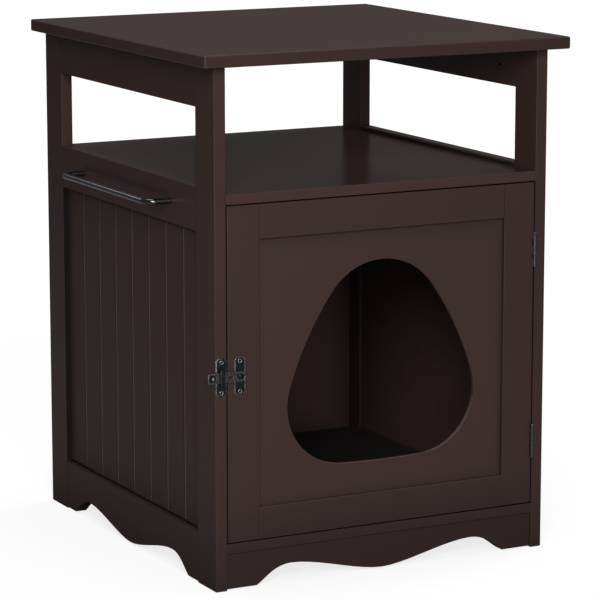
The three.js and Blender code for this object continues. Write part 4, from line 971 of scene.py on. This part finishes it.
bent_rod = piece_from_bmesh(bm, "bent_towel_rod", TO_FRAME)
finish_mesh(bent_rod, rod_enamel, "cabinet", "black_iron", "towel_bar", eased=None)
for k in (1, 2):
    driven_screw(f"towel_bar_screw_{k}", (-1, 0, 0), 4.0, 2.4, 2.0, "cabinet", "zinc")

# ------------------------------------------------------------
# Cam locks: die-cast discs with a cross slot, turned to draw the rails and boards to the posts. They
# sit a little below the face of their bores and have dulled dark.
# ------------------------------------------------------------
CAM_R = 7.3
CAM_FACE = 2.5  # thickness of the slotted face
CAM_SLOT_REACH, CAM_SLOT_HALF_W = 5.0, 0.9
DULL_ZINC, ZINC_RUB_AND_GLINT = (0.045, 0.034, 0.028), (0.20, 0.17, 0.15)
cam_zinc = worn_glinting_metal("dulled cam zinc", DULL_ZINC, ZINC_RUB_AND_GLINT, 0.55, 0.6, rub_and_glint=0.5, spread=0.3, grain=0.3)


def cam_lock(node, direction):
    matrix, length = along_axis(node, direction)
    bm = bmesh.new()
    slotted = [circle(0, 0, CAM_R, 40), cross(CAM_SLOT_REACH, CAM_SLOT_HALF_W)]
    add_sheet(bm, slotted, CAM_FACE, CAM_FACE, 0.45, 2)
    add_turned(bm, [(0, CAM_FACE), (CAM_R - 0.05, CAM_FACE + 0.01), (CAM_R - 0.05, length), (0, length)], 40)
    inward, middle = Vector(direction), matrix.translation

    # painted shade in the cross slot
    def sunk(face):
        depth = (face.center - middle).dot(inward) * 1000
        return 0.85 if 1.0 < depth < CAM_FACE + 0.1 else 0.0

    finish_mesh(piece_from_bmesh(bm, "cast_" + node, matrix), cam_zinc, "cabinet", "zinc", node,
                math.radians(35), rubbed_glinting_bevels(inward), sunk)


for k in (1, 2):
    cam_lock(f"left_rail_cam_{k}", (-1, 0, 0))
    cam_lock(f"right_rail_cam_{k}", (1, 0, 0))
    for board in ("shelf", "floor_board"):
        cam_lock(f"{board}_left_cam_{k}", (0, 0, 1))
        cam_lock(f"{board}_right_cam_{k}", (0, 0, 1))

# ------------------------------------------------------------
# Studio: a pale floor that runs past the picture on every side, a white backdrop, and soft lamps
# round the cabinet. Two small cards far behind draw the glints along the towel bar.
# ------------------------------------------------------------
FLOOR_HALF = 20.0
FLOOR_GREY = (0.30, 0.30, 0.30)
GLOW_NEAR = 0.80  # how far the pale paper is lifted to white beside the cabinet; the rest is lamp light
FADE_START, FADE_END = 0.9, 2.4  # beyond this far the paper melts into the white backdrop
ROOM_TINT, ROOM_LIGHT = (1.0, 0.98, 0.97), 0.11
MIDDLE, ROD_MIDDLE = (0, 0, 0.3), (-0.25, 0.0, 0.45)


def split_for_camera(tree, others, camera_sees, end):
    """Shows the camera one shader and lights the cabinet by another."""
    seen = tree.nodes.new("ShaderNodeLightPath").outputs["Is Camera Ray"]
    pick = tree.nodes.new("ShaderNodeMixShader")
    for slot, socket in zip(pick.inputs, (seen, others.outputs[0], camera_sees.outputs[0])):
        tree.links.new(socket, slot)
    tree.links.new(pick.outputs[0], end.inputs["Surface"])


floor_mesh = bpy.data.meshes.new("studio_floor")
floor_corners = [(x * FLOOR_HALF, y * FLOOR_HALF, 0) for x, y in ((-1, -1), (1, -1), (1, 1), (-1, 1))]
floor_mesh.from_pydata(floor_corners, [], [(0, 1, 2, 3)])
studio_floor = add_object("studio_floor", floor_mesh)
floor_paper = bpy.data.materials.new("studio paper")
floor_paper.use_nodes = True
tree = floor_paper.node_tree
tree.nodes.remove(tree.nodes["Principled BSDF"])
paper = add_node(tree, "ShaderNodeBsdfDiffuse", {"Color": (*FLOOR_GREY, 1)})
reach = tree.nodes.new("ShaderNodeVectorMath")
reach.operation = "LENGTH"
tree.links.new(on_object(tree), reach.inputs[0])
fade = add_node(tree, "ShaderNodeMapRange", {
    "Value": reach.outputs["Value"], "From Min": FADE_START, "From Max": FADE_END, "To Min": GLOW_NEAR,
    "To Max": 1.0})
fade.interpolation_type = "SMOOTHSTEP"
glow = add_node(tree, "ShaderNodeEmission", {"Color": (1, 1, 1, 1), "Strength": fade.outputs["Result"]})
both = tree.nodes.new("ShaderNodeAddShader")
tree.links.new(paper.outputs[0], both.inputs[0])
tree.links.new(glow.outputs[0], both.inputs[1])
split_for_camera(tree, paper, both, tree.nodes["Material Output"])
floor_mesh.materials.append(floor_paper)

world = bpy.data.worlds.new("studio world")
bpy.context.scene.world = world
world.use_nodes = True
tree = world.node_tree
backdrop = tree.nodes["Background"]
backdrop.inputs["Color"].default_value = (1, 1, 1, 1)
backdrop.inputs["Strength"].default_value = 1.0
room = add_node(tree, "ShaderNodeBackground", {"Color": (*ROOM_TINT, 1), "Strength": ROOM_LIGHT})
split_for_camera(tree, room, backdrop, tree.nodes["World Output"])


def soft_lamp(name, stand, aim, width, height, power, tint=(1.0, 1.0, 1.0)):
    """A rectangular softbox that faces a point; lengths in metres, power in watts."""
    data = bpy.data.lights.new(name, "AREA")
    data.shape = "RECTANGLE"
    data.size, data.size_y = width, height
    data.energy = power
    data.color = tint
    lamp = add_object(name, data)
    lamp.location = stand
    lamp.rotation_euler = (Vector(aim) - Vector(stand)).to_track_quat("-Z", "Y").to_euler()


soft_lamp("key_softbox", (-1.2, -2.3, 1.45), MIDDLE, 1.1, 1.1, 46)
soft_lamp("front_softbox", (-1.0, -3.0, 0.45), MIDDLE, 1.2, 1.0, 14)
soft_lamp("right_softbox", (2.7, 0.6, 1.5), MIDDLE, 1.4, 1.0, 26)
soft_lamp("top_softbox", (0.0, 0.2, 3.0), MIDDLE, 2.0, 2.0, 32)
soft_lamp("rod_high_card", (-0.99, 2.79, 1.84), ROD_MIDDLE, 0.35, 0.6, 1.5, (0.72, 0.80, 1.0))
soft_lamp("rod_low_card", (-0.50, 0.99, 0.03), ROD_MIDDLE, 0.08, 0.4, 0.022)

bpy.context.scene.view_settings.view_transform = "Standard"
